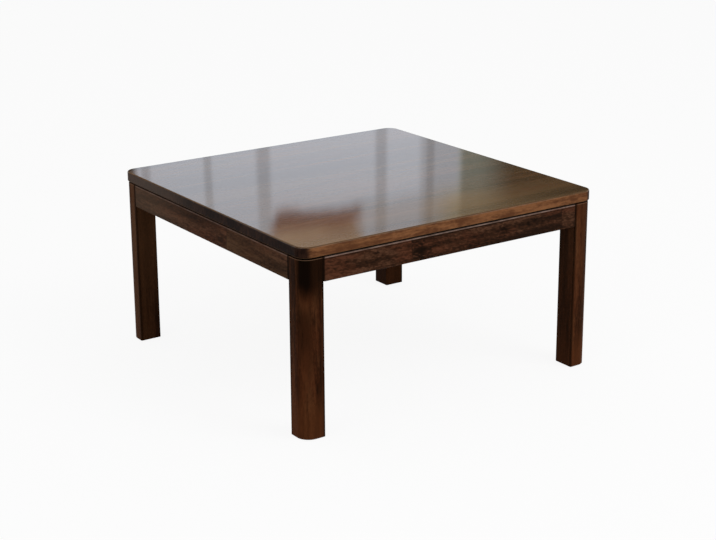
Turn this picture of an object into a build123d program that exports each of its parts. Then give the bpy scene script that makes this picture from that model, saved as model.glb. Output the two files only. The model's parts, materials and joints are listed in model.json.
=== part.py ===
"""Small square kotatsu: a low table whose loose top lifts off a bolted frame that carries a fan heater.

Millimetres, +Z up. The origin is on the floor under the middle of the table. +X is right, -Y is front.
"""

from build123d import *
from math import atan2, sqrt, tan
import os

# Table
table_width = 750.0           # along X
table_depth = 750.0           # along Y
table_height = 400.0
board_thickness = 22.0
board_corner_radius = 27.0
board_top_round = 2.5
board_bottom_round = 1.5
bumper_height = 3.5           # the gap that the quilt lies in
bumper_radius = 9.0
frame_inset = 1.2             # the frame stands in from the edge of the board

# Legs
leg_size = 50.0
leg_corner_radius = 28.0      # the outer corner follows the corner of the board
leg_edge_round = 2.5
leg_inner_chamfer = 12.0      # flat that the hanger bolt stands out of
leg_flat_height = 58.0        # of that flat, from the top of the leg
leg_end_chamfer = 0.8
glide_radius = 15.0
glide_thickness = 1.2
glide_chamfer = 0.4

# Aprons
apron_height = 49.5
apron_thickness = 20.0
apron_end_round = 2.2
apron_top_round = 2.0
apron_bottom_round = 1.5

# Corner plates and their fasteners
plate_thickness = 2.0
plate_height = 38.0
plate_corner_offset = 30.0    # from the leg's side to the fold beside the apron
plate_wing = 28.0
plate_bend_radius = 3.0
plate_hook = 6.0
kerf_clearance = 0.3
bolt_radius = 4.0
bolt_grip = 32.0              # depth in the leg
bolt_tail = 6.0               # past the nut
bolt_hole_clearance = 0.1
plate_hole_clearance = 0.4
washer_radius = 10.0
washer_thickness = 1.6
nut_hub_radius = 7.0
nut_hub_height = 8.0
nut_hub_chamfer = 1.5
nut_wing_span = 34.0
nut_wing_height = 15.0
nut_wing_thickness = 2.6
nut_ear_radius = 5.0
nut_root_radius = 2.6            # where a wing leaves the hub
plate_screw_rise = 11.0       # above and below the middle of the plate
screw_radius = 1.9
screw_length = 12.0
screw_head_radius = 4.0
screw_head_height = 2.4
screw_head_chamfer = 0.8
screw_hole_clearance = 0.3
head_clearance = 0.5

# Rails that carry the heater
rail_width = 36.0
rail_height = 28.0
rail_drop = 3.5               # below the top of the frame
rail_edge_round = 2.0
tenon_shoulder = 5.0
tenon_length = 8.0
heater_opening = 304.0        # clear width between the rails

# Heater housing and reflector
sheet = 1.2
pan_size = 292.0
pan_corner_radius = 20.0
pan_edge_round = 6.0
pan_height = 25.0             # above the underside of the rails
flange_size = 340.0
flange_corner_radius = 24.0
vent_count = 14
vent_inner_radius = 40.0
vent_length = 22.0
vent_width = 5.0
bead_length = 200.0
bead_width = 14.0
bead_height = 1.6
mount_screw_inset = 9.0       # from the edge of the flange
mount_screw_spread = 110.0    # each side of the middle
reflector_sheet = 0.8
reflector_size = 304.0
trough_length = 278.0
trough_width = 62.0
trough_height = 17.0
trough_round = 14.0
tube_spacing = 190.0
fan_opening_radius = 52.0
fan_collar_height = 5.0
fan_collar_round = 2.5

# Heating elements
tube_radius = 6.0
tube_wall = 1.0
tube_length = 248.0
tube_rise = 1.5               # tube axis above the plane of the reflector
coil_radius = 3.6
cap_size = 16.0
cap_length = 14.0
cap_chamfer = 2.0
cap_socket_depth = 6.0
socket_clearance = 0.15
terminal_radius = 1.6
terminal_length = 5.0
terminal_grip = 4.0
strap_thickness = 1.0
strap_width = 9.0
strap_foot = 9.0
rivet_radius = 1.5
rivet_head_radius = 2.8
rivet_head_height = 1.0

# Fan
fan_radius = 47.0
fan_hub_radius = 15.0
fan_hub_height = 13.0
fan_hub_round = 3.8
blade_count = 7
blade_thickness = 1.4
blade_root_pitch = 48.0
blade_tip_pitch = 26.0
blade_root_chord = 17.0
blade_tip_chord = 27.0
blade_root_sink = 1.5         # root of a blade inside the hub
fan_rise = 1.0                # top of the hub above the plane of the reflector
shaft_radius = 2.5
shaft_blind = 3.0             # closed end of the hub's bore
shaft_grip = 10.0             # shaft inside the motor
motor_radius = 23.0
motor_height = 18.0
motor_round = 2.9
motor_boss_radius = 7.0
motor_boss_height = 2.5
bracket_arm_reach = 36.0
bracket_arm_width = 12.0
bracket_arms = 3
running_clearance = 0.08

# Guard
guard_frame_height = 16.0
guard_frame_round = 5.0
guard_opening = 301.0
guard_corner_radius = 12.0
guard_lip = 10.0
guard_wire_radius = 1.1
guard_wire_sides = 8          # the round wire is drawn with this many flats
guard_mesh_pitch = 13.0
guard_wire_pairs = 10         # wires each side of the middle one
guard_rim_gap = 1.2           # from the end of a wire to the frame
guard_depth = 22.0
guard_shoulder = 3.0          # from the lip's edge to the top of the slope
guard_slope = 16.0            # width of the sloping side
guard_screw_spread = 62.0
guard_cup_radius = 7.0

# Control box with the mains inlet and the temperature dial
box_length = 58.0             # along X
box_width = 116.0             # along Y
box_height = 30.0
box_wall = 2.2
box_corner_radius = 9.0
box_round = 4.0
box_gap = 1.0                 # from the guard frame
box_post_radius = 5.5
box_screw_inset = 7.0         # from the side beside the guard frame
box_screw_recess = 12.0
box_screw_spread = 46.0
dial_offset = 27.0
inlet_offset = -22.0
dial_radius = 12.0
dial_height = 13.0
dial_round = 1.5
dial_skirt = 3.2              # plain rim below the flutes
dial_gap = 0.6
dial_flutes = 14
dial_flute_radius = 1.2
dial_index_depth = 0.8
dial_index_width = 1.6
dial_index_length = 6.0
dial_bush_clearance = 1.0
dial_grip = 10.0              # shaft inside the dial
dial_shaft_radius = 3.0
pot_radius = 8.5
pot_height = 10.0
pot_bush_radius = 5.0
pot_bush_length = 2.4
pot_shaft_depth = 8.0
inlet_width = 36.0
inlet_height = 19.0
inlet_depth = 17.0
inlet_wall = 2.0
inlet_flange = 1.6
inlet_flange_reach = 2.4      # past each end of the shroud
inlet_flange_rise = 0.8       # above and below it
inlet_corner_radius = 7.0
inlet_floor = 4.0
inlet_pin_radius = 2.2
inlet_pin_spacing = 16.0
inlet_pin_length = 12.0
inlet_pin_chamfer = 0.7
inlet_terminal_length = 6.0

# Thermostat and thermal fuse
thermostat_radius = 8.0
thermostat_height = 7.0
thermostat_place = 92.0       # from the fan's axis
thermostat_ear = 26.0
thermostat_round = 1.0
fuse_radius = 2.2
fuse_length = 15.0
fuse_offset = 26.0
clip_thickness = 0.6
clip_width = 5.0
clip_foot = 4.4

# Levels and places that follow
frame_top = table_height - board_thickness - bumper_height
apron_bottom = frame_top - apron_height
frame_half_x = table_width / 2 - frame_inset
frame_half_y = table_depth / 2 - frame_inset
rail_top = frame_top - rail_drop
rail_bottom = rail_top - rail_height
tenon_width = rail_width - 2 * tenon_shoulder
tenon_height = rail_height - 2 * tenon_shoulder
plate_middle = frame_top - apron_height / 2
pan_top = rail_bottom + pan_height
flange_bottom = rail_bottom - sheet
reflector_bottom = flange_bottom - reflector_sheet
guard_frame_bottom = flange_bottom - guard_frame_height
tube_axis_z = reflector_bottom + tube_rise
tube_places = (-tube_spacing / 2, tube_spacing / 2)
rail_places = (-(heater_opening + rail_width) / 2, (heater_opening + rail_width) / 2)
plate_screw_z = (plate_middle - plate_screw_rise, plate_middle + plate_screw_rise)
box_inner_x = flange_size / 2 + box_gap
box_outer_x = box_inner_x + box_length
box_bottom = flange_bottom - box_height
box_middle_z = flange_bottom - box_height / 2
box_screw_x = box_inner_x + box_screw_inset
box_screw_places = [(box_screw_x, y) for y in (-box_screw_spread, box_screw_spread)]
mount_line = flange_size / 2 - mount_screw_inset
mount_screw_rows = (-mount_screw_spread, mount_screw_spread)
mount_screw_places = [(side * mount_line, along) for side in (-1, 1) for along in mount_screw_rows]
mount_screw_places += [(y, x) for x, y in mount_screw_places]
guard_screw_x = (flange_size + guard_opening) / 4
guard_screw_rows = (-guard_screw_spread, guard_screw_spread)
guard_screw_places = [(x, y) for x in (-guard_screw_x, guard_screw_x) for y in guard_screw_rows]
bracket_screw_places = PolarLocations(bracket_arm_reach - bracket_arm_width / 2, bracket_arms)
guard_lip_top = guard_frame_bottom + sheet
guard_wire_turn = 180 / guard_wire_sides
fan_top = reflector_bottom + fan_rise
fan_bottom = fan_top - fan_hub_height
motor_top = pan_top - 2 * sheet
motor_bottom = motor_top - motor_height
cap_outer_x = tube_length / 2 - cap_socket_depth + cap_length
cap_middle_x = cap_outer_x - cap_length / 2

os.makedirs("parts", exist_ok=True)


def save(name, *pieces):
    """Write one piece, or a group of like pieces, as a node."""
    shape = pieces[0] if len(pieces) == 1 else Compound(children=list(pieces))
    shape.label = name
    export_step(shape, f"parts/{name}.step")


def slab(size_x, size_y, radius, thickness, z):
    """A flat plate with rounded corners whose underside is at z."""
    return Pos(0, 0, z) * extrude(RectangleRounded(size_x, size_y, radius), thickness)


def rod(radius, length, z=0.0):
    """A round bar along +Z that starts at z."""
    return Pos(0, 0, z) * extrude(Circle(radius), length)


def outline_at(part, z):
    """The edges of the flat face at height z."""
    return part.faces().filter_by(Axis.Z).sort_by(lambda face: abs(face.center().Z - z))[0].edges()


def ring_at(part, radius, z):
    """The round edge of the given radius, about the Z axis, at height z."""
    rings = part.edges().filter_by(GeomType.CIRCLE)
    return rings.sort_by(lambda edge: abs(edge.radius - radius) + abs(edge.center().Z - z))[0]


# Corners are modelled once, with the outer corner of the leg at the origin and the table towards +X and +Y.
def place_corner(shape, side_x, side_y):
    """Bring a corner piece from its own corner to one of the table's four."""
    turn = {(-1, -1): 0, (1, -1): 90, (1, 1): 180, (-1, 1): 270}[(side_x, side_y)]
    return Pos(side_x * frame_half_x, side_y * frame_half_y, 0) * Rot(0, 0, turn) * shape


corners = {"front_left": (-1, -1), "front_right": (1, -1), "back_right": (1, 1), "back_left": (-1, 1)}
leg_flat = leg_size - leg_inner_chamfer / 2           # middle of the chamfer, along both sides
plate_fold = leg_size + plate_corner_offset
plate_line = (plate_fold + apron_thickness + plate_thickness / 2) / 2   # middle of the diagonal web
bolt_direction = Vector(1, 1, 0).normalized()


def bolt_plane(distance):
    """A plane square to the hanger bolt, at a distance from the leg's chamfer."""
    start = Vector(leg_flat, leg_flat, plate_middle) + bolt_direction * distance
    return Plane(origin=start, x_dir=(0, 0, 1), z_dir=bolt_direction)


web_distance = (plate_line - leg_flat) * sqrt(2)
nut_seat = web_distance + plate_thickness / 2 + washer_thickness


# Tabletop
def make_tabletop():
    bottom = table_height - board_thickness
    board = slab(table_width, table_depth, board_corner_radius, board_thickness, bottom)
    board = fillet(outline_at(board, table_height), board_top_round)
    return fillet(outline_at(board, bottom), board_bottom_round)


save("tabletop_board", make_tabletop())


# Legs
def make_leg():
    section = Rectangle(leg_size, leg_size, align=(Align.MIN, Align.MIN))
    by_distance = section.vertices().sort_by(lambda vertex: vertex.X + vertex.Y)
    section = fillet(by_distance[0], leg_corner_radius)
    others = [vertex for vertex in section.vertices() if max(vertex.X, vertex.Y) > leg_size - 1e-6]
    section = fillet(others, leg_edge_round)
    leg = Pos(0, 0, glide_thickness) * extrude(section, frame_top - glide_thickness)
    leg -= Pos(0, 0, frame_top - leg_flat_height) * extrude(make_flat_cut(), leg_flat_height)
    ends = list(outline_at(leg, frame_top)) + list(outline_at(leg, glide_thickness))
    leg = chamfer(ends, leg_end_chamfer)
    return leg - bolt_plane(-bolt_grip) * rod(bolt_radius + bolt_hole_clearance, bolt_grip + leg_size)


def make_flat_cut():
    """The corner sawn off the inside of the leg's top, as seen from above."""
    far = leg_size + leg_inner_chamfer
    near = leg_size - 2 * leg_inner_chamfer
    return make_face(Polyline((far, near), (far, far), (near, far), close=True))


leg = make_leg()
for name, sides in corners.items():
    save(f"leg_{name}", place_corner(leg, *sides))

pad_place = Pos(leg_size / 2, leg_size / 2, 0)
bumper = pad_place * rod(bumper_radius, bumper_height, frame_top)
save("bumper_pads", *[place_corner(bumper, *sides) for sides in corners.values()])

glide = pad_place * rod(glide_radius, glide_thickness)
glide = chamfer(outline_at(glide, 0), glide_chamfer)
for name, sides in corners.items():
    save(f"foot_glide_{name}", place_corner(glide, *sides))


# Corner plates: a folded strip that crosses the corner and hooks into a saw cut in each apron
def make_corner_plate():
    face = apron_thickness + plate_thickness / 2
    wing_end = plate_fold + plate_wing
    middle_line = FilletPolyline(
        (wing_end, apron_thickness - plate_hook),
        (wing_end, face),
        (plate_fold, face),
        (face, plate_fold),
        (face, wing_end),
        (apron_thickness - plate_hook, wing_end),
        radius=plate_bend_radius,
    )
    strip = trace(middle_line, line_width=plate_thickness)
    plate = Pos(0, 0, plate_middle - plate_height / 2) * extrude(strip, plate_height)
    hole = rod(bolt_radius + plate_hole_clearance, 4 * plate_thickness)
    return plate - bolt_plane(web_distance - 2 * plate_thickness) * hole


def apron_screw_planes():
    """Seats of one plate's four screws, each pointing out of its apron."""
    along = plate_fold + plate_wing / 2
    seat = apron_thickness + plate_thickness
    planes = [Plane((along, seat, z), x_dir=(1, 0, 0), z_dir=(0, 1, 0)) for z in plate_screw_z]
    return planes + [Plane((seat, along, z), x_dir=(0, 1, 0), z_dir=(1, 0, 0)) for z in plate_screw_z]


def make_screw(length):
    """A pan-head screw along -Z with the seat of its head at z = 0."""
    head = rod(screw_head_radius, screw_head_height)
    head = chamfer(outline_at(head, screw_head_height), screw_head_chamfer)
    return head + rod(screw_radius, length, -length)


plate = make_corner_plate()
plate_screw = make_screw(screw_length + plate_thickness)
for seat in apron_screw_planes():
    plate -= seat * rod(screw_radius, 2 * plate_thickness, -1.5 * plate_thickness)
for name, sides in corners.items():
    save(f"corner_plate_{name}", place_corner(plate, *sides))

bolt = bolt_plane(-bolt_grip) * rod(bolt_radius, bolt_grip + nut_seat + nut_hub_height + bolt_tail)
save("hanger_bolts", *[place_corner(bolt, *sides) for sides in corners.values()])

washer = rod(washer_radius, washer_thickness) - rod(bolt_radius + bolt_hole_clearance, washer_thickness)
washer = bolt_plane(nut_seat - washer_thickness) * washer
save("bolt_washers", *[place_corner(washer, *sides) for sides in corners.values()])


def make_wing_nut():
    hub = chamfer(outline_at(rod(nut_hub_radius, nut_hub_height), nut_hub_height), nut_hub_chamfer)
    ear = Pos(nut_wing_span / 2 - nut_ear_radius, nut_wing_height - nut_ear_radius) * Circle(nut_ear_radius)
    root = Pos(nut_hub_radius / 2, nut_hub_height / 2) * Circle(nut_root_radius)
    profile = make_hull(ear.edges() + root.edges())
    wing = Rot(90, 0, 0) * extrude(profile, nut_wing_thickness / 2, both=True)
    wings = wing + mirror(wing, about=Plane.YZ)
    return hub + wings - rod(bolt_radius + bolt_hole_clearance, nut_wing_height)


wing_nut = bolt_plane(nut_seat) * make_wing_nut()
save("wing_nuts", *[place_corner(wing_nut, *sides) for sides in corners.values()])

corner_screws = [seat * plate_screw for seat in apron_screw_planes()]
placed_screws = [place_corner(screw, *sides) for sides in corners.values() for screw in corner_screws]
save("corner_plate_screws", *placed_screws)


# Aprons: outer face on Y = 0, thickness towards +Y, length along X
def make_apron(length, mortises=()):
    section = Rectangle(apron_thickness, apron_height, align=(Align.MIN, Align.MIN))
    corner = section.vertices().group_by(Axis.X)[0].sort_by(Axis.Y)
    section = fillet(corner[-1], apron_top_round)
    corner = section.vertices().group_by(Axis.X)[0].sort_by(Axis.Y)
    section = fillet(corner[0], apron_bottom_round)
    start = Plane(origin=(-length / 2, 0, apron_bottom), x_dir=(0, 1, 0), z_dir=(1, 0, 0))
    apron = extrude(start * section, length)
    ends = apron.edges().filter_by(Axis.Z).group_by(Axis.Y)[0]
    apron = fillet(ends, apron_end_round)
    kerf_x = length / 2 - (plate_fold + plate_wing - leg_size)
    kerf = Box(plate_thickness + 2 * kerf_clearance, plate_hook + kerf_clearance, 2 * apron_height,
               align=(Align.CENTER, Align.MAX, Align.CENTER))
    relief_length = plate_bend_radius + kerf_clearance
    relief = Box(relief_length, relief_length - plate_thickness / 2, 2 * apron_height,
                 align=(Align.CENTER, Align.MAX, Align.CENTER))
    screw_x = kerf_x + plate_wing / 2
    for side in (-1, 1):
        apron -= Pos(side * kerf_x, apron_thickness, plate_middle) * kerf
        apron -= Pos(side * (kerf_x + relief_length / 2), apron_thickness, plate_middle) * relief
        for z in plate_screw_z:
            seat = Plane((side * screw_x, apron_thickness, z), x_dir=(1, 0, 0), z_dir=(0, 1, 0))
            apron -= seat * rod(screw_radius, screw_length, -screw_length)
    tenon = Box(tenon_width, tenon_length, tenon_height, align=(Align.CENTER, Align.MAX, Align.CENTER))
    for x in mortises:
        apron -= Pos(x, apron_thickness, rail_bottom + rail_height / 2) * tenon
    return apron


apron_x = make_apron(2 * (frame_half_x - leg_size), rail_places)
apron_y = make_apron(2 * (frame_half_y - leg_size))
save("apron_front", Pos(0, -frame_half_y, 0) * apron_x)
save("apron_back", Rot(0, 0, 180) * Pos(0, -frame_half_y, 0) * apron_x)
save("apron_right", Rot(0, 0, 90) * Pos(0, -frame_half_x, 0) * apron_y)
save("apron_left", Rot(0, 0, -90) * Pos(0, -frame_half_x, 0) * apron_y)


# Rails: along X, tenoned at both ends
def make_rail(length, mortises=()):
    middle_z = rail_bottom + rail_height / 2
    body = Box(length, rail_width, rail_height)
    body = fillet(body.edges().filter_by(Axis.X), rail_edge_round)
    body += Box(length + 2 * tenon_length, tenon_width, tenon_height)
    mortise = Box(tenon_width, tenon_length, tenon_height, align=(Align.CENTER, Align.MAX, Align.CENTER))
    for x in mortises:
        body -= Pos(x, rail_width / 2, 0) * mortise
    for x in mount_screw_rows:
        body -= Pos(x, rail_places[1] - mount_line, -rail_height / 2) * rod(screw_radius, screw_length)
    return Pos(0, 0, middle_z) * body


long_rail = make_rail(2 * (frame_half_y - apron_thickness), rail_places)
cross_rail = make_rail(heater_opening)
rail_right = Pos(rail_places[1], 0, 0) * Rot(0, 0, 90) * long_rail
for x, y in box_screw_places:
    rail_right -= Pos(x, y, rail_bottom) * rod(screw_radius, screw_length)
save("heater_rail_right", rail_right)
save("heater_rail_left", Pos(rail_places[0], 0, 0) * Rot(0, 0, -90) * long_rail)
save("cross_rail_front", Pos(0, rail_places[0], 0) * cross_rail)
save("cross_rail_back", Rot(0, 0, 180) * Pos(0, rail_places[0], 0) * cross_rail)


# Heater housing: a pressed pan that hangs between the rails, its flange screwed up against them
def make_housing():
    inner_size = pan_size - 2 * sheet
    outside = slab(pan_size, pan_size, pan_corner_radius, pan_top - flange_bottom, flange_bottom)
    outside = fillet(outline_at(outside, pan_top), pan_edge_round)
    inside = slab(inner_size, inner_size, pan_corner_radius - sheet, pan_height, flange_bottom)
    inside = fillet(outline_at(inside, pan_top - sheet), pan_edge_round - sheet)
    for y in tube_places:
        outside += Pos(0, y, pan_top) * extrude(SlotOverall(bead_length, bead_width), bead_height)
        bead = SlotOverall(bead_length - 2 * sheet, bead_width - 2 * sheet)
        inside += Pos(0, y, pan_top - sheet) * extrude(bead, bead_height)
    flange = slab(flange_size, flange_size, flange_corner_radius, sheet, flange_bottom)
    tongue_length = box_outer_x - mount_line
    tongue = slab(tongue_length, box_width, box_corner_radius, sheet, flange_bottom)
    tongue = Pos(box_outer_x - tongue_length / 2, 0, 0) * tongue
    housing = outside + flange + tongue - inside
    vent = SlotOverall(vent_length, vent_width)
    vents = PolarLocations(vent_inner_radius + vent_length / 2, vent_count) * vent
    housing -= Pos(0, 0, pan_top - 2 * sheet) * extrude(Sketch() + list(vents), 3 * sheet)
    for x, y in mount_screw_places + guard_screw_places + box_screw_places:
        housing -= Pos(x, y, flange_bottom - sheet) * rod(screw_radius, 3 * sheet)
    for place in bracket_screw_places:
        housing -= place * rod(screw_radius, 3 * sheet, pan_top - 2 * sheet)
    return housing


save("heater_housing", make_housing())

mount_screw = Rot(180, 0, 0) * make_screw(screw_length + sheet)
save("heater_mount_screws", *[Pos(x, y, flange_bottom) * mount_screw for x, y in mount_screw_places])


# Reflector: one bright sheet with a trough over each element and a collar round the fan
def make_reflector():
    top = reflector_bottom + reflector_sheet
    shell = slab(reflector_size, reflector_size, guard_corner_radius, reflector_sheet, reflector_bottom)
    hollow = Part()
    for y in tube_places:
        shell += Pos(0, y, 0) * trough_form(0, reflector_bottom)
        hollow += Pos(0, y, 0) * trough_form(reflector_sheet, reflector_bottom)
    shell += rod(fan_opening_radius + reflector_sheet, fan_collar_height, top)
    shell = fillet(ring_at(shell, fan_opening_radius + reflector_sheet, top), fan_collar_round)
    hollow += rod(fan_opening_radius, fan_collar_height + 2 * reflector_sheet, reflector_bottom)
    shell -= hollow
    shell = fillet(ring_at(shell, fan_opening_radius, reflector_bottom), fan_collar_round + reflector_sheet)
    for place in rivet_places:
        shell -= Pos(*place) * rod(rivet_radius, reflector_sheet, reflector_bottom)
    return shell


def trough_form(inset, bottom):
    """The outside of a trough, or its inside when it is set in by the thickness of the sheet."""
    form = extrude(SlotOverall(trough_length - 2 * inset, trough_width - 2 * inset), trough_height - inset)
    return Pos(0, 0, bottom) * fillet(outline_at(form, trough_height - inset), trough_round - inset)


def make_saddle(width, grip, reach, drop, thickness, foot):
    """A strap of the given width along X whose middle hangs below feet that lie against z = 0."""
    middle_line = FilletPolyline(
        (-reach - foot, -thickness / 2),
        (-reach, -thickness / 2),
        (-grip, -drop - thickness / 2),
        (grip, -drop - thickness / 2),
        (reach, -thickness / 2),
        (reach + foot, -thickness / 2),
        radius=2 * thickness,
    )
    side = Plane(origin=(-width / 2, 0, 0), x_dir=(0, 1, 0), z_dir=(1, 0, 0))
    return extrude(side * trace(middle_line, line_width=thickness), width)


strap_reach = trough_width / 2 + 2 * strap_thickness
strap_places = [(x, y) for x in (-cap_middle_x, cap_middle_x) for y in tube_places]
rivet_reach = strap_reach + strap_foot / 2
rivet_places = [(x, y + side * rivet_reach) for x, y in strap_places for side in (-1, 1)]
save("reflector", make_reflector())

strap_drop = cap_size / 2 - tube_rise
strap_grip = cap_size / 2 + strap_thickness
strap = make_saddle(strap_width, strap_grip, strap_reach, strap_drop, strap_thickness, strap_foot)
for side in (-1, 1):
    strap -= Pos(0, side * rivet_reach, -2 * strap_thickness) * rod(rivet_radius, 3 * strap_thickness)
save("element_straps", *[Pos(x, y, reflector_bottom) * strap for x, y in strap_places])

rivet = rod(rivet_radius, strap_thickness + reflector_sheet, -strap_thickness)
rivet += rod(rivet_head_radius, rivet_head_height, -strap_thickness - rivet_head_height)
save("strap_rivets", *[Pos(x, y, reflector_bottom) * rivet for x, y in rivet_places])

# Heating elements: a resistance coil in a quartz tube, held at both ends in a ceramic cap
along_x = Plane(origin=(0, 0, 0), x_dir=(0, 1, 0), z_dir=(1, 0, 0))
tube = extrude(along_x * (Circle(tube_radius) - Circle(tube_radius - tube_wall)), tube_length / 2, both=True)
coil = extrude(along_x * Circle(coil_radius), tube_length / 2, both=True)
for name, y in zip(("front", "back"), tube_places):
    save(f"quartz_tube_{name}", Pos(0, y, tube_axis_z) * tube)
    save(f"heating_coil_{name}", Pos(0, y, tube_axis_z) * coil)


def make_end_cap():
    """The cap at the +X end of an element on the X axis."""
    cap = Pos(cap_middle_x, 0, 0) * Box(cap_length, cap_size, cap_size)
    cap = chamfer(cap.edges().filter_by(Axis.X), cap_chamfer)
    start = cap_outer_x - cap_length
    cap -= Pos(start, 0, 0) * extrude(along_x * Circle(tube_radius + socket_clearance), cap_socket_depth)
    return cap - Pos(cap_outer_x, 0, 0) * extrude(along_x * Circle(terminal_radius), -terminal_grip)


end_cap = make_end_cap()
terminal = Pos(cap_outer_x - terminal_grip, 0, 0) * extrude(along_x * Circle(terminal_radius),
                                                            terminal_grip + terminal_length)
ends = [Pos(0, y, tube_axis_z) * Rot(0, 0, turn) for y in tube_places for turn in (0, 180)]
save("ceramic_end_caps", *[end * end_cap for end in ends])
save("element_terminals", *[end * terminal for end in ends])


# Fan
def make_fan_rotor():
    hub = rod(fan_hub_radius, fan_hub_height, fan_bottom)
    hub = fillet(outline_at(hub, fan_bottom), fan_hub_round)
    root = blade_section(fan_hub_radius - blade_root_sink, blade_root_chord, blade_root_pitch)
    tip = blade_section(fan_radius, blade_tip_chord, blade_tip_pitch)
    blade = loft(Sketch() + [root, tip])
    rotor = hub
    for turn in range(blade_count):
        rotor += Rot(0, 0, turn * 360 / blade_count) * blade
    rotor = rotor & rod(fan_radius, fan_hub_height, fan_bottom)
    return rotor - rod(shaft_radius, fan_hub_height, fan_bottom + shaft_blind)


def blade_section(radius, chord, pitch):
    """Cross-section of a blade, square to the X axis at a radius."""
    plane = Plane(origin=(radius, 0, fan_bottom + fan_hub_height / 2), x_dir=(0, 1, 0), z_dir=(1, 0, 0))
    return plane * Rot(0, 0, pitch) * Rectangle(chord, blade_thickness)


save("fan_rotor", make_fan_rotor())
shaft_bottom = fan_bottom + shaft_blind
shaft_top = motor_bottom + shaft_grip
save("fan_shaft", rod(shaft_radius, shaft_top - shaft_bottom, shaft_bottom))

motor = fillet(outline_at(rod(motor_radius, motor_height, motor_bottom), motor_bottom), motor_round)
motor += rod(motor_boss_radius, motor_boss_height, motor_bottom - motor_boss_height)
bore_length = motor_boss_height + shaft_grip + running_clearance
motor -= rod(shaft_radius + running_clearance, bore_length, motor_bottom - motor_boss_height)
save("fan_motor", motor)


def make_motor_bracket():
    """A plate with arms between the motor and the top of the pan."""
    arm = SlotOverall(bracket_arm_reach, bracket_arm_width)
    arms = PolarLocations(bracket_arm_reach / 2, bracket_arms) * arm
    plate = Pos(0, 0, motor_top) * extrude(Circle(motor_radius - sheet) + list(arms), sheet)
    for place in bracket_screw_places:
        plate -= place * rod(screw_radius, sheet, motor_top)
    return plate


save("motor_bracket", make_motor_bracket())
bracket_screw = Pos(0, 0, motor_top) * Rot(180, 0, 0) * make_screw(2 * sheet)
save("motor_bracket_screws", *[place * bracket_screw for place in bracket_screw_places])


# Guard: a pressed channel under the flange that carries a dished wire mesh
def make_guard_frame():
    bottom = guard_frame_bottom
    frame = slab(flange_size, flange_size, flange_corner_radius, guard_frame_height, bottom)
    frame = fillet(outline_at(frame, bottom), guard_frame_round)
    wall = guard_opening + 2 * sheet
    channel = slab(flange_size - 2 * sheet, flange_size - 2 * sheet, flange_corner_radius - sheet,
                   guard_frame_height, guard_lip_top)
    channel = fillet(outline_at(channel, guard_lip_top), guard_frame_round - sheet)
    channel -= slab(wall, wall, guard_corner_radius + sheet, 2 * guard_frame_height, bottom)
    for x, y in guard_screw_places:
        channel -= Pos(x, y, bottom) * rod(guard_cup_radius, guard_frame_height)
    lip_size = guard_opening - 2 * guard_lip
    frame -= channel
    frame -= slab(guard_opening, guard_opening, guard_corner_radius, guard_frame_height, guard_lip_top)
    frame -= slab(lip_size, lip_size, guard_corner_radius - guard_lip / 2, guard_frame_height, bottom)
    frame -= slab(reflector_size, reflector_size, guard_corner_radius, guard_frame_height, reflector_bottom)
    cup_floor = rod(guard_cup_radius, flange_bottom - reflector_bottom + sheet, reflector_bottom - sheet)
    for x, y in guard_screw_places:
        frame += Pos(x, y, 0) * cup_floor
        frame -= Pos(x, y, bottom) * rod(guard_cup_radius - sheet, guard_frame_height - sheet)
        frame -= Pos(x, y, bottom) * rod(screw_radius, guard_frame_height)
    return frame


save("guard_frame", make_guard_frame())
guard_screw = Rot(180, 0, 0) * make_screw(2 * sheet)
save("guard_screws", *[Pos(x, y, flange_bottom - sheet) * guard_screw for x, y in guard_screw_places])


def make_mesh_wires(layer):
    """Wires along X of one layer of the dished mesh; the other layer lies on it, square to it."""
    wire_section = RegularPolygon(guard_wire_radius, guard_wire_sides, major_radius=False,
                                  rotation=guard_wire_turn)
    step = 2 * guard_wire_radius
    top_half = guard_opening / 2 - guard_lip - guard_shoulder
    angle = atan2(guard_depth, guard_slope)
    inset = layer * step * tan(angle / 2)
    shoulder = top_half - inset
    floor_half = shoulder - guard_slope
    rim = guard_opening / 2 - guard_rim_gap
    top_z = guard_lip_top + guard_wire_radius + layer * step
    wires = []
    for index in range(-guard_wire_pairs, guard_wire_pairs + 1):
        y = index * guard_mesh_pitch
        drop = min(guard_depth, max(0.0, (shoulder - abs(y)) / guard_slope * guard_depth))
        floor = floor_half + (guard_depth - drop) / guard_depth * guard_slope
        points = [(-rim, 0), (-shoulder, 0), (-floor, -drop), (floor, -drop), (shoulder, 0), (rim, 0)]
        path = Polyline(*[(x, y, top_z + z) for x, z in points])
        start = Plane(origin=path @ 0, z_dir=path % 0)
        wires.append(sweep(start * wire_section, path=path, transition=Transition.RIGHT))
    border = extrude(along_x * wire_section, rim - guard_corner_radius / 2, both=True)
    wires += [Pos(0, side * (rim - guard_wire_radius), top_z) * border for side in (-1, 1)]
    return wires


cross_wires = [Rot(0, 0, 90) * wire for wire in make_mesh_wires(1)]
save("guard_grille", *make_mesh_wires(0), *cross_wires)


# Control box: open at the top, closed by the tongue of the housing
def box_front(width, height, radius, length, start):
    """A rounded block along X that starts at x = start, centred on the X axis of the box's face."""
    return Pos(start, 0, 0) * extrude(along_x * RectangleRounded(width, height, radius), length)


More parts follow.
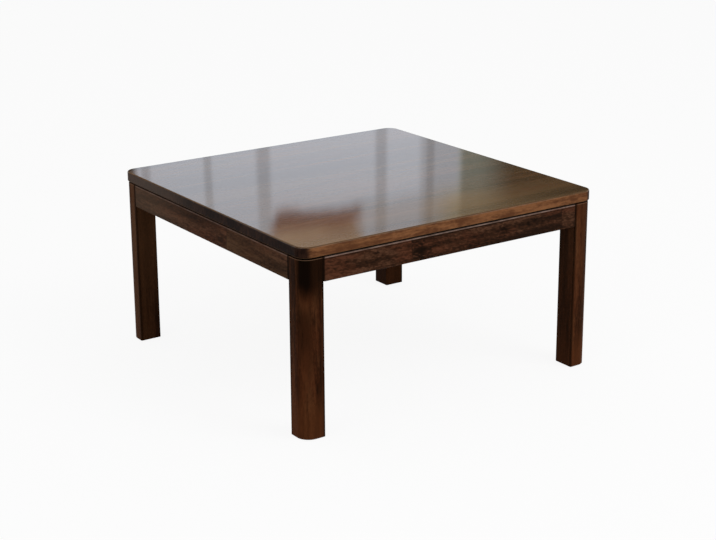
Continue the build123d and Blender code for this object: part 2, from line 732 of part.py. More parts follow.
def make_control_box():
    middle_x = (box_inner_x + box_outer_x) / 2
    outside = slab(box_length, box_width, box_corner_radius, box_height, box_bottom)
    outside = fillet(outline_at(outside, box_bottom), box_round)
    inside = slab(box_length - 2 * box_wall, box_width - 2 * box_wall, box_corner_radius - box_wall,
                  box_height, box_bottom + box_wall)
    inside = fillet(outline_at(inside, box_bottom + box_wall), box_round - box_wall)
    box = Pos(middle_x, 0, 0) * (outside - inside)
    seat = box_bottom + box_screw_recess
    for x, y in box_screw_places:
        box += Pos(x, y, box_bottom + box_wall) * rod(box_post_radius, box_height - box_wall)
        box -= Pos(x, y, 0) * rod(screw_head_radius + head_clearance, box_screw_recess, box_bottom)
        box -= Pos(x, y, 0) * rod(screw_radius + screw_hole_clearance, box_height, seat)
    cut = box_outer_x - 2 * box_wall
    bush_hole = extrude(along_x * Circle(pot_bush_radius + socket_clearance), 3 * box_wall)
    box -= Pos(cut, dial_offset, box_middle_z) * bush_hole
    opening = box_front(inlet_width + 2 * socket_clearance, inlet_height + 2 * socket_clearance,
                        inlet_corner_radius, 3 * box_wall, cut)
    return box - Pos(0, inlet_offset, box_middle_z) * opening


save("control_box", make_control_box())
box_seat = box_bottom + box_screw_recess
box_screw = Rot(180, 0, 0) * make_screw(rail_bottom + screw_length - box_seat)
save("control_box_screws", *[Pos(x, y, box_seat) * box_screw for x, y in box_screw_places])


# Temperature dial, its shaft and the control behind it, modelled on the X axis
def make_dial():
    start = box_outer_x + dial_gap
    dial = Pos(start, 0, 0) * extrude(along_x * Circle(dial_radius), dial_height)
    front = dial.faces().sort_by(Axis.X)[-1]
    dial = fillet(front.edges(), dial_round)
    flute = extrude(along_x * Circle(dial_flute_radius), dial_height)
    flute = Pos(start + dial_skirt, dial_radius + dial_flute_radius / 2, 0) * flute
    for turn in range(dial_flutes):
        dial -= Rot(turn * 360 / dial_flutes, 0, 0) * flute
    index = Box(dial_index_depth * 2, dial_index_width, dial_index_length)
    dial -= Pos(start + dial_height, 0, dial_radius / 2) * index
    bush_recess = extrude(along_x * Circle(pot_bush_radius + dial_bush_clearance), pot_bush_length)
    dial -= Pos(start, 0, 0) * bush_recess
    return dial - Pos(start, 0, 0) * extrude(along_x * Circle(dial_shaft_radius), dial_grip)


dial_place = Pos(0, dial_offset, box_middle_z)
pot_face = box_outer_x - box_wall
save("temperature_dial", dial_place * make_dial())
shaft_start = pot_face - pot_shaft_depth
dial_shaft_length = box_outer_x + dial_gap + dial_grip - shaft_start
dial_shaft = Pos(shaft_start, 0, 0) * extrude(along_x * Circle(dial_shaft_radius), dial_shaft_length)
save("dial_shaft", dial_place * dial_shaft)

control = Pos(pot_face, 0, 0) * extrude(along_x * Circle(pot_radius), -pot_height)
bush_length = box_wall + pot_bush_length - dial_gap
control += Pos(pot_face, 0, 0) * extrude(along_x * Circle(pot_bush_radius), bush_length)
control_bore = extrude(along_x * Circle(dial_shaft_radius + running_clearance), 4 * pot_height)
control -= Pos(shaft_start - running_clearance, 0, 0) * control_bore
save("temperature_control", dial_place * control)


# Mains inlet: a recessed two-pin socket seated against the inside of the box's outer wall
def make_inlet():
    mouth = box_outer_x - box_wall - inlet_flange + inlet_depth
    shroud = box_front(inlet_width, inlet_height, inlet_corner_radius, inlet_depth, mouth - inlet_depth)
    shroud += box_front(inlet_width + 2 * inlet_flange_reach, inlet_height + 2 * inlet_flange_rise,
                        inlet_corner_radius, inlet_flange, mouth - inlet_depth)
    shroud -= box_front(inlet_width - 2 * inlet_wall, inlet_height - 2 * inlet_wall,
                        inlet_corner_radius - inlet_wall, inlet_depth, mouth - inlet_depth + inlet_floor)
    pin_hole = extrude(along_x * Circle(inlet_pin_radius), 2 * inlet_depth)
    for y in (-inlet_pin_spacing / 2, inlet_pin_spacing / 2):
        shroud -= Pos(mouth - 2 * inlet_depth, y, 0) * pin_hole
    return shroud


inlet_place = Pos(0, inlet_offset, box_middle_z)
inlet_back = box_outer_x - box_wall - inlet_flange
save("inlet_shroud", inlet_place * make_inlet())
pin_length = inlet_terminal_length + inlet_floor + inlet_pin_length
pin = Pos(inlet_back - inlet_terminal_length, 0, 0) * extrude(along_x * Circle(inlet_pin_radius), pin_length)
pin = chamfer(pin.faces().sort_by(Axis.X)[-1].edges(), inlet_pin_chamfer)
save("inlet_pins", *[inlet_place * Pos(0, side * inlet_pin_spacing / 2, 0) * pin for side in (-1, 1)])

# Thermostat and thermal fuse, on the underside of the reflector beside the fan
thermostat = rod(thermostat_radius, thermostat_height, -sheet - thermostat_height)
thermostat = fillet(outline_at(thermostat, -sheet - thermostat_height), thermostat_round)
thermostat += Pos(0, 0, -sheet) * extrude(SlotOverall(thermostat_ear, thermostat_radius), sheet)
save("thermostat", Pos(-thermostat_place, 0, reflector_bottom) * Rot(0, 0, 90) * thermostat)
fuse = extrude(along_x * Circle(fuse_radius), fuse_length / 2, both=True)
save("thermal_fuse", Pos(-thermostat_place, fuse_offset, reflector_bottom - fuse_radius) * fuse)
fuse_diameter = 2 * fuse_radius
clip = make_saddle(clip_width, fuse_radius, fuse_diameter, fuse_diameter, clip_thickness, clip_foot)
save("fuse_clip", Pos(-thermostat_place, fuse_offset, reflector_bottom) * clip)
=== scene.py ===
import bmesh
import bpy
import json
from math import atan2, cos, pi, radians, sin, tan
from mathutils import Matrix, Vector

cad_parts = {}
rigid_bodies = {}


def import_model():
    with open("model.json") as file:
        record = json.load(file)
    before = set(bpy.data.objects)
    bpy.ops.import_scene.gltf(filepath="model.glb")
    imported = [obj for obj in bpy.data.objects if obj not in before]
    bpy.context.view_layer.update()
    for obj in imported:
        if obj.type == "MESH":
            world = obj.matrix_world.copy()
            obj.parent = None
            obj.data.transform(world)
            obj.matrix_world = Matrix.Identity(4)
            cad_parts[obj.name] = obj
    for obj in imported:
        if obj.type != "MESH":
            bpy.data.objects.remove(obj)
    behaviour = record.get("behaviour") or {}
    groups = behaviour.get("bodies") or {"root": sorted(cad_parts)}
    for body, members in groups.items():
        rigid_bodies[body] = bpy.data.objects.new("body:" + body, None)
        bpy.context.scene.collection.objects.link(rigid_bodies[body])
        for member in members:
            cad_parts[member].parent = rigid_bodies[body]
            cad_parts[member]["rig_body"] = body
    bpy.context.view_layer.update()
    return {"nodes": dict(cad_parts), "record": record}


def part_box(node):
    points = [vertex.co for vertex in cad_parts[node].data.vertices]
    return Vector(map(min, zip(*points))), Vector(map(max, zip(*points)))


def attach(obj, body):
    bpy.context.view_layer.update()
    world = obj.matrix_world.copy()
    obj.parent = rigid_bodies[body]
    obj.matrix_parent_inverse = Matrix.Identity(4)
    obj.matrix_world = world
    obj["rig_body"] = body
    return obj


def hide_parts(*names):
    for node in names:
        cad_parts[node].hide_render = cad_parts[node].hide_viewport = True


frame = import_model()
cadNodes = frame["nodes"]
print("frame loaded:", len(cadNodes), "nodes")

scene = bpy.context.scene
scene.view_settings.view_transform = "Standard"


# shader maths
class Value:
    def __init__(self, finish, socket):
        self.finish = finish
        self.socket = socket

    def maths(self, operation, *values):
        return self.finish.maths(operation, *values)

    def __add__(self, other):
        return self.maths("ADD", self, other)

    def __radd__(self, other):
        return self.maths("ADD", other, self)

    def __sub__(self, other):
        return self.maths("SUBTRACT", self, other)

    def __rsub__(self, other):
        return self.maths("SUBTRACT", other, self)

    def __mul__(self, other):
        return self.maths("MULTIPLY", self, other)

    def __rmul__(self, other):
        return self.maths("MULTIPLY", other, self)

    def __truediv__(self, other):
        return self.maths("DIVIDE", self, other)

    def __pow__(self, other):
        return self.maths("POWER", self, other)

    def __abs__(self):
        return self.maths("ABSOLUTE", self)

    def fraction(self):
        return self.maths("FRACT", self)

    def smaller(self, other):
        return self.maths("MINIMUM", self, other)

    def larger(self, other):
        return self.maths("MAXIMUM", self, other)

    # 0 below low, 1 above high, with a soft change between
    def rise(self, low, high):
        settings = {"interpolation_type": "SMOOTHSTEP"}
        return self.finish.add("ShaderNodeMapRange", settings, self, low, high, 0.0, 1.0)


class Finish:
    def __init__(self, name, tree=None):
        if tree is None:
            self.material = bpy.data.materials.new(name)
            self.material.use_nodes = True
            tree = self.material.node_tree
        self.tree = tree
        tree.nodes.clear()

    # settings are set first, then sockets by place or by name
    def node(self, kind, settings, values, named):
        made = self.tree.nodes.new(kind)
        for key, setting in settings.items():
            if key == "stops":
                self.setStops(made.color_ramp, setting)
            else:
                setattr(made, key, setting)
        for key, value in list(enumerate(values)) + list(named.items()):
            socket = made.inputs[key]
            if isinstance(value, Value):
                self.tree.links.new(value.socket, socket)
            else:
                socket.default_value = value
        return made

    def setStops(self, ramp, stops):
        while len(ramp.elements) < len(stops):
            ramp.elements.new(0.5)
        for element, (place, colour) in zip(ramp.elements, stops):
            element.position = place
            element.color = (*colour, 1.0)

    def maths(self, operation, *values):
        return self.add("ShaderNodeMath", {"operation": operation}, *values)

    def add(self, kind, settings, *values, output=0, **named):
        made = self.node(kind, settings, values, named)
        return Value(self, made.outputs[output])

    def place(self, turn=(0, 0, 0), scale=(1, 1, 1)):
        point = self.add("ShaderNodeTexCoord", {}, output="Object")
        return self.add("ShaderNodeMapping", {}, point, (0, 0, 0), turn, scale)

    def split(self, vector):
        return [self.add("ShaderNodeSeparateXYZ", {}, vector, output=axis) for axis in range(3)]

    def join(self, x, y, z):
        return self.add("ShaderNodeCombineXYZ", {}, x, y, z)

    def noise(self, vector, scale, detail=3.0, roughness=0.5, distortion=0.0):
        return self.add("ShaderNodeTexNoise", {}, Vector=vector, Scale=scale, Detail=detail,
                        Roughness=roughness, Distortion=distortion)

    def ramp(self, value, *stops):
        return self.add("ShaderNodeValToRGB", {"stops": stops}, value)

    # the Mix node's sockets for colours are the seventh and eighth, and its colour output is the third
    def mixColour(self, share, first, second):
        sockets = {0: share, 6: paint(first), 7: paint(second)}
        made = self.node("ShaderNodeMix", {"data_type": "RGBA"}, [], sockets)
        return Value(self, made.outputs[2])

    def bump(self, height, strength, distance):
        return self.add("ShaderNodeBump", {}, Height=height, Strength=strength, Distance=distance)

    # the one shader of a material; its sockets go by Blender's names
    def surface(self, sockets):
        sockets = {name: paint(value) for name, value in sockets.items()}
        shader = self.node("ShaderNodeBsdfPrincipled", {}, [], sockets)
        self.output(Value(self, shader.outputs[0]))
        return self.material

    def output(self, shader, kind="ShaderNodeOutputMaterial"):
        self.node(kind, {}, [shader], {})


# a colour gets its alpha, and anything else passes
def paint(colour):
    if isinstance(colour, tuple) and len(colour) == 3:
        return (*colour, 1.0)
    return colour


# colours are written as they look on a screen, 0 to 255
def screen(red, green, blue):
    def linear(level):
        level = level / 255
        return level / 12.92 if level <= 0.04045 else ((level + 0.055) / 1.055) ** 2.4
    return (linear(red), linear(green), linear(blue))


# camera
camera = {
    "lens": 79.966,
    "sensor": 36.0,
    "azimuth": -34.500,
    "elevation": 16.540,
    "roll": -0.300,
    "distance": 3.5774,
    "aim": (0.0, 0.0, 0.2),
    "slide": (-0.01105, -0.07971),       # aside and up, as the camera sees them
    "shiftY": -40 / 716,
}


def makeCamera(look):
    data = bpy.data.cameras.new("camera")
    data.sensor_width = look["sensor"]
    data.lens = look["lens"]
    data.shift_y = look["shiftY"]
    data.clip_end = 80.0
    eye = bpy.data.objects.new("camera", data)
    scene.collection.objects.link(eye)
    azimuth = radians(look["azimuth"])
    elevation = radians(look["elevation"])
    back = Vector((sin(azimuth) * cos(elevation), -cos(azimuth) * cos(elevation), sin(elevation)))
    aside = back.cross(Vector((0, 0, -1))).normalized()
    up = aside.cross(-back)
    place = Vector(look["aim"]) + back * look["distance"]
    place -= aside * look["slide"][0] + up * look["slide"][1]
    turn = Matrix((aside, up, back)).transposed()
    turn = Matrix.Rotation(radians(look["roll"]), 3, back) @ turn
    eye.matrix_world = Matrix.Translation(place) @ turn.to_4x4()
    scene.camera = eye
    return Vector((-back.x, -back.y, 0)).normalized()


heading = makeCamera(camera)
print("camera made")


# studio
studio = {
    "skyLight": 0.62,
    "floorTone": 0.86,
    "floorShadow": 0.10,                 # share of the floor that takes light and shadow
    "floorRadius": 26.0,
    "keySize": 2.4,
    "keyPlace": (1.5, -3.0, 3.2),
    "keyPower": 62.0,
    "fillSize": 2.0,
    "fillPlace": (-3.4, -1.0, 2.2),
    "fillPower": 16.0,
}

# The lacquer mirrors a room with tall windows; only glossy rays see it.
room = {
    "radius": 4.5,
    "bay": 40.0,                         # one set of windows in each bay, in degrees
    "start": -14.6,                      # where the windows begin
    "startSoft": 0.3,
    "steps": ((4.1, 4.6, 0.28), (6.8, 7.3, 0.40), (7.9, 10.8, 0.32)),   # from, to, light lost
    "bars": ((-13.95, 0.36), (-9.85, 0.32), (-6.15, 0.55), (1.72, 0.46), (5.0, 0.32)),
    "barDepth": 0.33,
    "barEdge": (0.4, 1.2),               # a bar fades out between these shares of its half width
    "sill": (0.15, 0.31),
    "blind": (1.57, 1.67, 0.34),         # from, to, light lost behind a blind on the right part
    "blindSide": (-1.0, 0.4),
    "lintel": (1.84, 1.98),
    "wobbleScale": 5.0,                  # nothing in the room is quite straight
    "wobbleUp": 0.10,
    "wobbleAside": 5.0,
    "slope": 0.004,
    "patch": (-6.4, -5.0, -0.2, 1.2),    # something brown stands before the window
    "patchFrom": (1.60, 1.67),
    "patchFade": (1.68, 1.80),
    "patchLow": (0.22, 0.05, 0.01),
    "patchHigh": (0.82, 0.57, 0.36),
    "windowTone": (1.24, 1.345, 1.51),
    "sideTone": (1.04, 1.24, 1.08),      # trees outside, seen through the last panes
    "warmTone": (1.10, 0.97, 0.64),
    "sidePane": (6.6, 7.4),
    "warmPane": (4.0, 7.4),
    "warmHeight": (1.50, 1.62),
    "wallTone": (0.010, 0.022, 0.012),
    "blindTone": (0.24, 0.19, 0.10),
    "blindHeight": (1.53, 1.63),
    "lintelTone": (0.58, 0.46, 0.32),
    "lintelRise": 0.1,
    "ceilingTone": (0.10, 0.09, 0.08),
    "ceilingRise": (0.1, 1.1),           # above the lintel
}


def worldBackground(look):
    world = bpy.data.worlds.new("studio")
    scene.world = world
    world.use_nodes = True
    sky = Finish("sky", world.node_tree)
    seen = lightPath(sky)
    light = sky.add("ShaderNodeBackground", {}, (1.0, 1.0, 1.0, 1.0), look["skyLight"])
    white = sky.add("ShaderNodeBackground", {}, (1.0, 1.0, 1.0, 1.0), 1.0)
    sky.output(sky.add("ShaderNodeMixShader", {}, seen, light, white), "ShaderNodeOutputWorld")


# 1 for the rays that should find the white background
def lightPath(finish):
    ways = ("Is Camera Ray", "Is Glossy Ray", "Is Transmission Ray")
    camera, glossy, through = [finish.add("ShaderNodeLightPath", {}, output=way) for way in ways]
    return camera.larger(glossy).larger(through)


def floorFinish(look):
    floor = Finish("floor")
    tone = (look["floorTone"],) * 3
    lit = floor.add("ShaderNodeBsdfDiffuse", {}, (*tone, 1.0))
    white = floor.add("ShaderNodeEmission", {}, (1.0, 1.0, 1.0, 1.0), 1.0)
    seen = lightPath(floor) * (1 - look["floorShadow"])
    shown = floor.add("ShaderNodeMixShader", {}, seen, lit, white)
    clear = floor.add("ShaderNodeBsdfTransparent", {})
    below = floor.add("ShaderNodeNewGeometry", {}, output="Backfacing")
    floor.output(floor.add("ShaderNodeMixShader", {}, below, shown, clear))
    return floor.material


def makeFloor(look):
    mesh = bmesh.new()
    bmesh.ops.create_circle(mesh, cap_ends=True, segments=64, radius=look["floorRadius"])
    floor = finished("floor", mesh, floorFinish(look))


def roomFinish(look):
    wall = Finish("room")
    place = wall.place(turn=(0, 0, pi / 2 - atan2(heading.y, heading.x)))
    x, y, z = wall.split(place)
    wobble = wall.noise(place, look["wobbleScale"], 2.0, 0.5) - 0.5
    angle = wall.maths("ARCTAN2", x, y) * (180 / pi)
    bay = look["bay"]
    angle = ((angle / bay + 0.5).fraction() - 0.5) * bay
    light = angle.rise(look["start"] - look["startSoft"], look["start"] + look["startSoft"])
    for start, end, lost in look["steps"]:
        light = light - angle.rise(start, end) * lost
    near, far = look["barEdge"]
    for middle, half in look["bars"]:
        bar = 1 - abs(angle - middle).rise(half * near, half * far)
        light = light * (1 - bar * look["barDepth"])
    light = light.larger(0.0) * z.rise(*look["sill"])
    height = z + wobble * look["wobbleUp"] + angle * look["slope"]
    start, end, lost = look["blind"]
    light = light * (1 - height.rise(start, end) * angle.rise(*look["blindSide"]) * lost)
    start, end = look["lintel"]
    light = light * (1 - height.rise(start, end))
    dim = wall.mixColour(z.rise(*look["blindHeight"]), look["wallTone"], look["blindTone"])
    dim = wall.mixColour(z.rise(start - look["lintelRise"], end), dim, look["lintelTone"])
    ceiling, full = look["ceilingRise"]
    dim = wall.mixColour(z.rise(end + ceiling, end + full), dim, look["ceilingTone"])
    pane = wall.mixColour(angle.rise(*look["sidePane"]), look["windowTone"], look["sideTone"])
    warm = z.rise(*look["warmHeight"]) * angle.rise(*look["warmPane"])
    pane = wall.mixColour(warm, pane, look["warmTone"])
    colour = wall.mixColour(light, dim, pane)
    left, leftEnd, right, rightEnd = look["patch"]
    side = angle + wobble * look["wobbleAside"]
    patch = side.rise(left, leftEnd) * (1 - side.rise(right, rightEnd))
    patch = patch * height.rise(*look["patchFrom"]) * (1 - z.rise(start, end))
    brown = wall.mixColour(height.rise(*look["patchFade"]), look["patchLow"], look["patchHigh"])
    colour = wall.mixColour(patch, colour, brown)
    wall.output(wall.add("ShaderNodeEmission", {}, colour, 1.0))
    return wall.material


def makeRoom(look):
    mesh = bmesh.new()
    bmesh.ops.create_uvsphere(mesh, u_segments=72, v_segments=36, radius=look["radius"])
    below = [vertex for vertex in mesh.verts if vertex.co.z < -0.01]
    bmesh.ops.delete(mesh, geom=below, context="VERTS")
    bmesh.ops.reverse_faces(mesh, faces=mesh.faces)
    dome = finished("room", mesh, roomFinish(look))
    dome.visible_camera = False
    dome.visible_diffuse = False
    dome.visible_transmission = False
    dome.visible_shadow = False
    dome.visible_volume_scatter = False


def makeLamp(name, place, size, power):
    data = bpy.data.lights.new(name, "AREA")
    data.shape = "DISK"
    data.size = size
    data.energy = power
    lamp = bpy.data.objects.new(name, data)
    scene.collection.objects.link(lamp)
    lamp.location = place
    away = Vector(place) - Vector(camera["aim"])
    lamp.rotation_euler = away.to_track_quat("Z", "Y").to_euler()
    lamp.visible_camera = False


# meshes
hair = 1e-6                              # what lies closer than this is level


def finished(name, mesh, material):
    data = bpy.data.meshes.new(name)
    mesh.to_mesh(data)
    mesh.free()
    piece = bpy.data.objects.new(name, data)
    scene.collection.objects.link(piece)
    data.materials.append(material)
    for face in data.polygons:
        face.use_smooth = True
    return piece


# smooth over curves, sharp at corners
def crease(mesh, angle):
    for edge in mesh.edges:
        edge.smooth = len(edge.link_faces) == 2 and edge.calc_face_angle() < radians(angle)


# keeps flat faces flat beside their rounded edges
def evenShading(piece):
    weighted = piece.modifiers.new("flat faces", "WEIGHTED_NORMAL")
    weighted.weight = 100
    weighted.keep_sharp = True
    return piece


def block(low, high):
    mesh = bmesh.new()
    bmesh.ops.create_cube(mesh, size=1.0)
    low = Vector(low)
    high = Vector(high)
    bmesh.ops.scale(mesh, vec=high - low, verts=mesh.verts)
    bmesh.ops.translate(mesh, vec=(low + high) / 2, verts=mesh.verts)
    return mesh


def bevel(mesh, edges, reach, segments):
    return bmesh.ops.bevel(mesh, geom=list(edges), offset=reach, offset_type="OFFSET", segments=segments,
                           affect="EDGES", profile=0.5, material=-1, clamp_overlap=True)


# edges that run along an axis
def along(mesh, axis):
    def runs(edge):
        step = (edge.verts[0].co - edge.verts[1].co).normalized()
        return abs(step[axis]) > 0.99
    return [edge for edge in mesh.edges if runs(edge)]


# the rim of the flat end at a height
def rim(mesh, height):
    level = [face for face in mesh.faces if all(abs(v.co.z - height) < hair for v in face.verts)]
    return {edge for face in level for edge in face.edges}


# the material slot and the body of each CAD node, as the record has them
slotOf = {part["node"]: part["material_slot"] for part in frame["record"]["subparts"]}


def settle(piece, *nodes):
    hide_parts(*nodes)
    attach(piece, cadNodes[nodes[0]]["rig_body"])
    return piece


# wood
sideWood = {
    "grain": "X",
    "blocks": ((-9.0, 0.5),),            # where each glued block starts, and its tone
    "seamSlant": 0.1,
    "seamMiddle": 0.35,
    "contrast": 0.13,
    "stretch": 0.10,
    "broadScale": 13.0,
    "broadShare": 0.34,
    "figureScale": 7.0,
    "figureRings": 9.0,
    "figureShare": 0.10,
    "streakScale": 70.0,
    "streakShare": 0.40,
    "lift": 0.08,
    "fineScale": 330.0,
    "fineShare": 0.16,
    "fleckScale": 270.0,
    "fleckShare": 0.30,
    "dark": screen(32, 19, 12),
    "middle": screen(56, 34, 22),
    "light": screen(87, 58, 42),
    "red": screen(84, 43, 27),
    "redShare": 0.55,
    "olive": screen(76, 56, 38),
    "oliveShare": 0.5,
    "knots": (),
    "knotTone": screen(18, 10, 6),
    "poreScale": 620.0,
    "poreTone": 0.45,
    "sheenTone": (1.0, 0.66, 0.42),
    "seed": 1.0,
}


def woodFinish(name, look):
    wood = Finish(name)
    x, y, z = wood.split(wood.place())
    lengthwise, across, upward = {"X": (x, y, z), "Y": (y, x, z), "Z": (z, x, y)}[look["grain"]]
    tone = look["blocks"][0][1]
    block = look["seed"]
    seam = 0.0
    before = tone
    for start, after in look["blocks"][1:]:
        beyond = lengthwise + (upward - look["seamMiddle"]) * look["seamSlant"]
        past = beyond.rise(start - 0.0003, start + 0.0003)
        tone = past * (after - before) + tone
        block = past + block
        seam = seam + (1 - abs(beyond - start).rise(0.0002, 0.0011))
        before = after
    shift = block * 0.713                # each block is cut from another part of the noise
    grain = wood.join(lengthwise * look["stretch"] + shift, across + shift, upward - shift)
    short = wood.join(lengthwise * 0.36 + shift, across + shift, upward + lengthwise * 0.12)
    broad = wood.noise(grain, look["broadScale"], 2.0, 0.5, 0.5)
    streaks = wood.noise(grain, look["streakScale"], 5.0, 0.62, 0.3)
    fine = wood.noise(grain, look["fineScale"], 3.0, 0.6)
    flecks = wood.noise(short, look["fleckScale"], 2.0, 0.55, 0.6)
    # contour lines of a slow noise draw the wood's figure
    slow = wood.noise(grain, look["figureScale"], 1.0, 0.4, 0.2)
    figure = abs((slow * look["figureRings"]).fraction() - 0.5) * 2
    level = broad * look["broadShare"] + streaks * look["streakShare"] + (fine - 0.5) * look["fineShare"]
    level = level + figure * look["figureShare"] + look["lift"]
    level = level + (tone - 0.5) + (flecks - 0.5) * look["fleckShare"]
    level = level.rise(0.5 - look["contrast"], 0.5 + look["contrast"])
    colour = wood.ramp(level, (0.0, look["dark"]), (0.5, look["middle"]), (1.0, look["light"]))
    patchy = wood.noise(short, look["broadScale"] * 1.7, 3.0, 0.6)
    colour = wood.mixColour(patchy.rise(0.44, 0.60) * level * look["redShare"], colour, look["red"])
    dull = wood.noise(grain, look["broadScale"] * 0.8, 2.0, 0.5)
    colour = wood.mixColour(dull.rise(0.52, 0.68) * level * look["oliveShare"], colour, look["olive"])
    for knotAlong, knotUp, size in look["knots"]:
        sideways = (lengthwise - knotAlong) * 0.8 + (upward - knotUp) * 0.2
        reach = (sideways * sideways + (upward - knotUp) ** 2.0) ** 0.5
        ring = 1 - (reach + (flecks - 0.5) * size * 1.6).rise(size * 0.2, size)
        colour = wood.mixColour(ring * 0.8, colour, look["knotTone"])
    pores = wood.noise(wood.join(lengthwise * 0.07, across, upward), look["poreScale"], 2.0, 0.6)
    pores = pores.rise(0.55, 0.72)
    colour = wood.mixColour(pores * look["poreTone"], colour, look["dark"])
    if len(look["blocks"]) > 1:
        colour = wood.mixColour(seam.smaller(1.0) * 0.45, colour, look["knotTone"])
    return wood, colour, streaks, pores, (x, y, z)


def woodSurface(wood, look, colour, streaks, pores):
    normal = wood.bump(streaks * 0.5 - pores * 0.8, 0.22, 0.0005)
    roughness = 0.40 + streaks * 0.12 + pores * 0.15
    return wood.surface({"Base Color": colour, "Roughness": roughness, "Normal": normal,
                         "Specular IOR Level": look["gloss"], "Specular Tint": look["sheenTone"]})


apronLook = {
    "joint": 0.3222,                     # where the apron meets the legs, with painted shade in the seam
    "jointSoft": 0.0025,
    # tones of painted shade, of a painted highlight and its share, and of a painted dark line
    "apronShadeTone": screen(14, 8, 5),
    "highlightTone": screen(150, 128, 118),
    "highlightShare": 0.72,
    "grooveTone": screen(22, 8, 3),
    "top": 0.3745,
    "highlightReach": (0.0027, 0.0018),       # below the top, as are the next three
    "grooveStart": (0.0062, 0.0042),
    "grooveEnd": (0.0034, 0.0026),
    "shadedReach": (0.0006, 0.0002),     # the face under the board, in painted shade
    "farTone": screen(90, 75, 60),
    "farShare": 0.0,                     # paler towards the far end
    "farReach": (0.02, 0.28),
    "gloss": 0.02,
}

apronWoods = {
    "apron_front": {"grain": "X", "seed": 1.0, "blocks": ((-1.0, 0.515), (-0.112, 0.425), (0.285, 0.53)),
                    "fleckShare": 0.42, "contrast": 0.15,
                    "knots": ((0.1223, 0.352, 0.015), (-0.1967, 0.363, 0.006), (0.191, 0.3557, 0.006),
                              (0.209, 0.3604, 0.006), (-0.090, 0.345, 0.024))},
    "apron_left": {"grain": "Y", "seed": 4.0, "blocks": ((-1.0, 0.495), (-0.087, 0.51)), "redShare": 0.25,
                   "oliveShare": 0.7, "contrast": 0.17, "highlightShare": 0.30, "farShare": 0.34, "gloss": 0.010},
    "apron_right": {"grain": "Y", "seed": 9.0, "blocks": ((-1.0, 0.48), (0.12, 0.54))},
    "apron_back": {"grain": "X", "seed": 15.0, "blocks": ((-1.0, 0.53), (-0.05, 0.47), (0.24, 0.50))},
}


def apronFinish(name, changes):
    look = {**sideWood, **apronLook, **changes}
    wood, colour, streaks, pores, (x, y, z) = woodFinish(f"{name} wood", look)
    lengthwise = x if look["grain"] == "X" else y
    far = lengthwise.rise(*look["farReach"]) * look["farShare"]
    colour = wood.mixColour(far, colour, look["farTone"])

    def near(reach):
        return z.rise(look["top"] - reach[0], look["top"] - reach[1])

    # painted shade: a dark line just under the painted highlight, scaled with its share
    groove = near(look["grooveStart"]) * (1 - near(look["grooveEnd"]))
    colour = wood.mixColour(groove * look["highlightShare"] * 0.6, colour, look["grooveTone"])
    # painted highlight: a light line along the top arris, uneven along its length
    uneven = wood.noise(wood.join(lengthwise, 0.0, 0.0), 24.0, 3.0, 0.6).rise(0.36, 0.62)
    highlight = near(look["highlightReach"]) * (0.42 + uneven * 0.58)
    colour = wood.mixColour(highlight * look["highlightShare"], colour, look["highlightTone"])
    # painted shade on the top face under the board
    colour = wood.mixColour(near(look["shadedReach"]) * 0.6, colour, look["apronShadeTone"])
    # painted shade in the seams at the apron's ends
    ends = abs(lengthwise).rise(look["joint"] - look["jointSoft"], look["joint"])
    colour = wood.mixColour(ends * 0.8, colour, look["apronShadeTone"])
    return woodSurface(wood, look, colour, streaks, pores)


legLook = {
    "rounding": 0.028,                   # the outer corner
    "roundingSteps": 14,
    "edge": 0.0025,
    "edgeSteps": 4,
    "end": 0.0008,
    "endSteps": 2,
    "flat": 0.012,                       # sawn off the inner corner, at the top only
    "flatHeight": 0.058,
    "creaseAngle": 40,
    "outerSide": 0.3738,
    "innerSide": 0.3238,
    "innerSoft": 0.0014,
    "cornerSoft": 0.014,
    "footHeight": (0.02, 0.12),          # each tone comes between two heights
    "paleHeight": (0.04, 0.26),
    "upHeight": (0.07, 0.19),
    "bandStart": (0.13, 0.19),
    "bandEnd": (0.25, 0.31),
    "headHeight": (0.276, 0.336),
    "highlightStart": (0.3726, 0.3734),
    "highlightEnd": (0.3742, 0.3745),
    # tones of painted shade upwards, at the head and on the inner faces, of painted light at the foot, of a
    # painted highlight, and of painted shade at the seams
    "topTone": screen(14, 8, 5),
    "headShadeTone": screen(9, 5, 3),
    "innerShadeTone": screen(15, 8, 4),
    "footLightTone": screen(84, 46, 24),
    "highlightTone": screen(120, 92, 72),
    "seamShadeTone": screen(16, 8, 4),
}

legWood = {
    **sideWood,
    "grain": "Z",
    "stretch": 0.07,
    "fleckShare": 0.16,
    "contrast": 0.15,
    "dark": screen(26, 13, 6),
    "middle": screen(51, 27, 14),
    "light": screen(88, 52, 30),
    "red": screen(75, 36, 18),
    "redShare": 0.6,
    "olive": screen(62, 39, 22),
    "innerShadeShare": 0.50,                  # painted shade on the faces that look under the table
    "innerLightShare": 0.0,                    # and painted light that lifts it upwards
    "upShare": 0.28,                     # painted shade: darker upwards, under the table
    "capShare": 0.12,                    # and painted shadow of the board at the head, beside the aprons
    "headShare": 0.0,                    # and there more on the front
    "cornerShare": 0.0,                  # and most on the rounded corner
    "bandShare": 0.0,                    # a dark band across that corner
    # painted light from the floor at the foot
    "footLightShare": 0.45,
    "gloss": 0.010,
}

legWoods = {
    "leg_front_left": {"seed": 3.0, "headShare": 0.80, "cornerShare": 0.15, "capShare": 0.02,
                       "bandShare": 0.42, "upShare": 0.20, "footLightShare": 0.55},
    "leg_front_right": {"seed": 6.0, "innerShadeShare": 0.46, "innerLightShare": 0.10, "upShare": 0.12, "capShare": 0.0,
                        "footLightShare": 0.55, "middle": screen(58, 32, 18), "light": screen(98, 60, 36)},
    "leg_back_left": {"seed": 11.0, "innerShadeShare": 0.40, "innerLightShare": 0.34, "upShare": 0.0, "capShare": 0.0,
                      "footLightShare": 0.15, "middle": screen(62, 37, 22), "red": screen(68, 38, 21),
                      "light": screen(88, 58, 37)},
    "leg_back_right": {"seed": 17.0, "middle": screen(40, 23, 12), "innerShadeShare": 0.56},
}


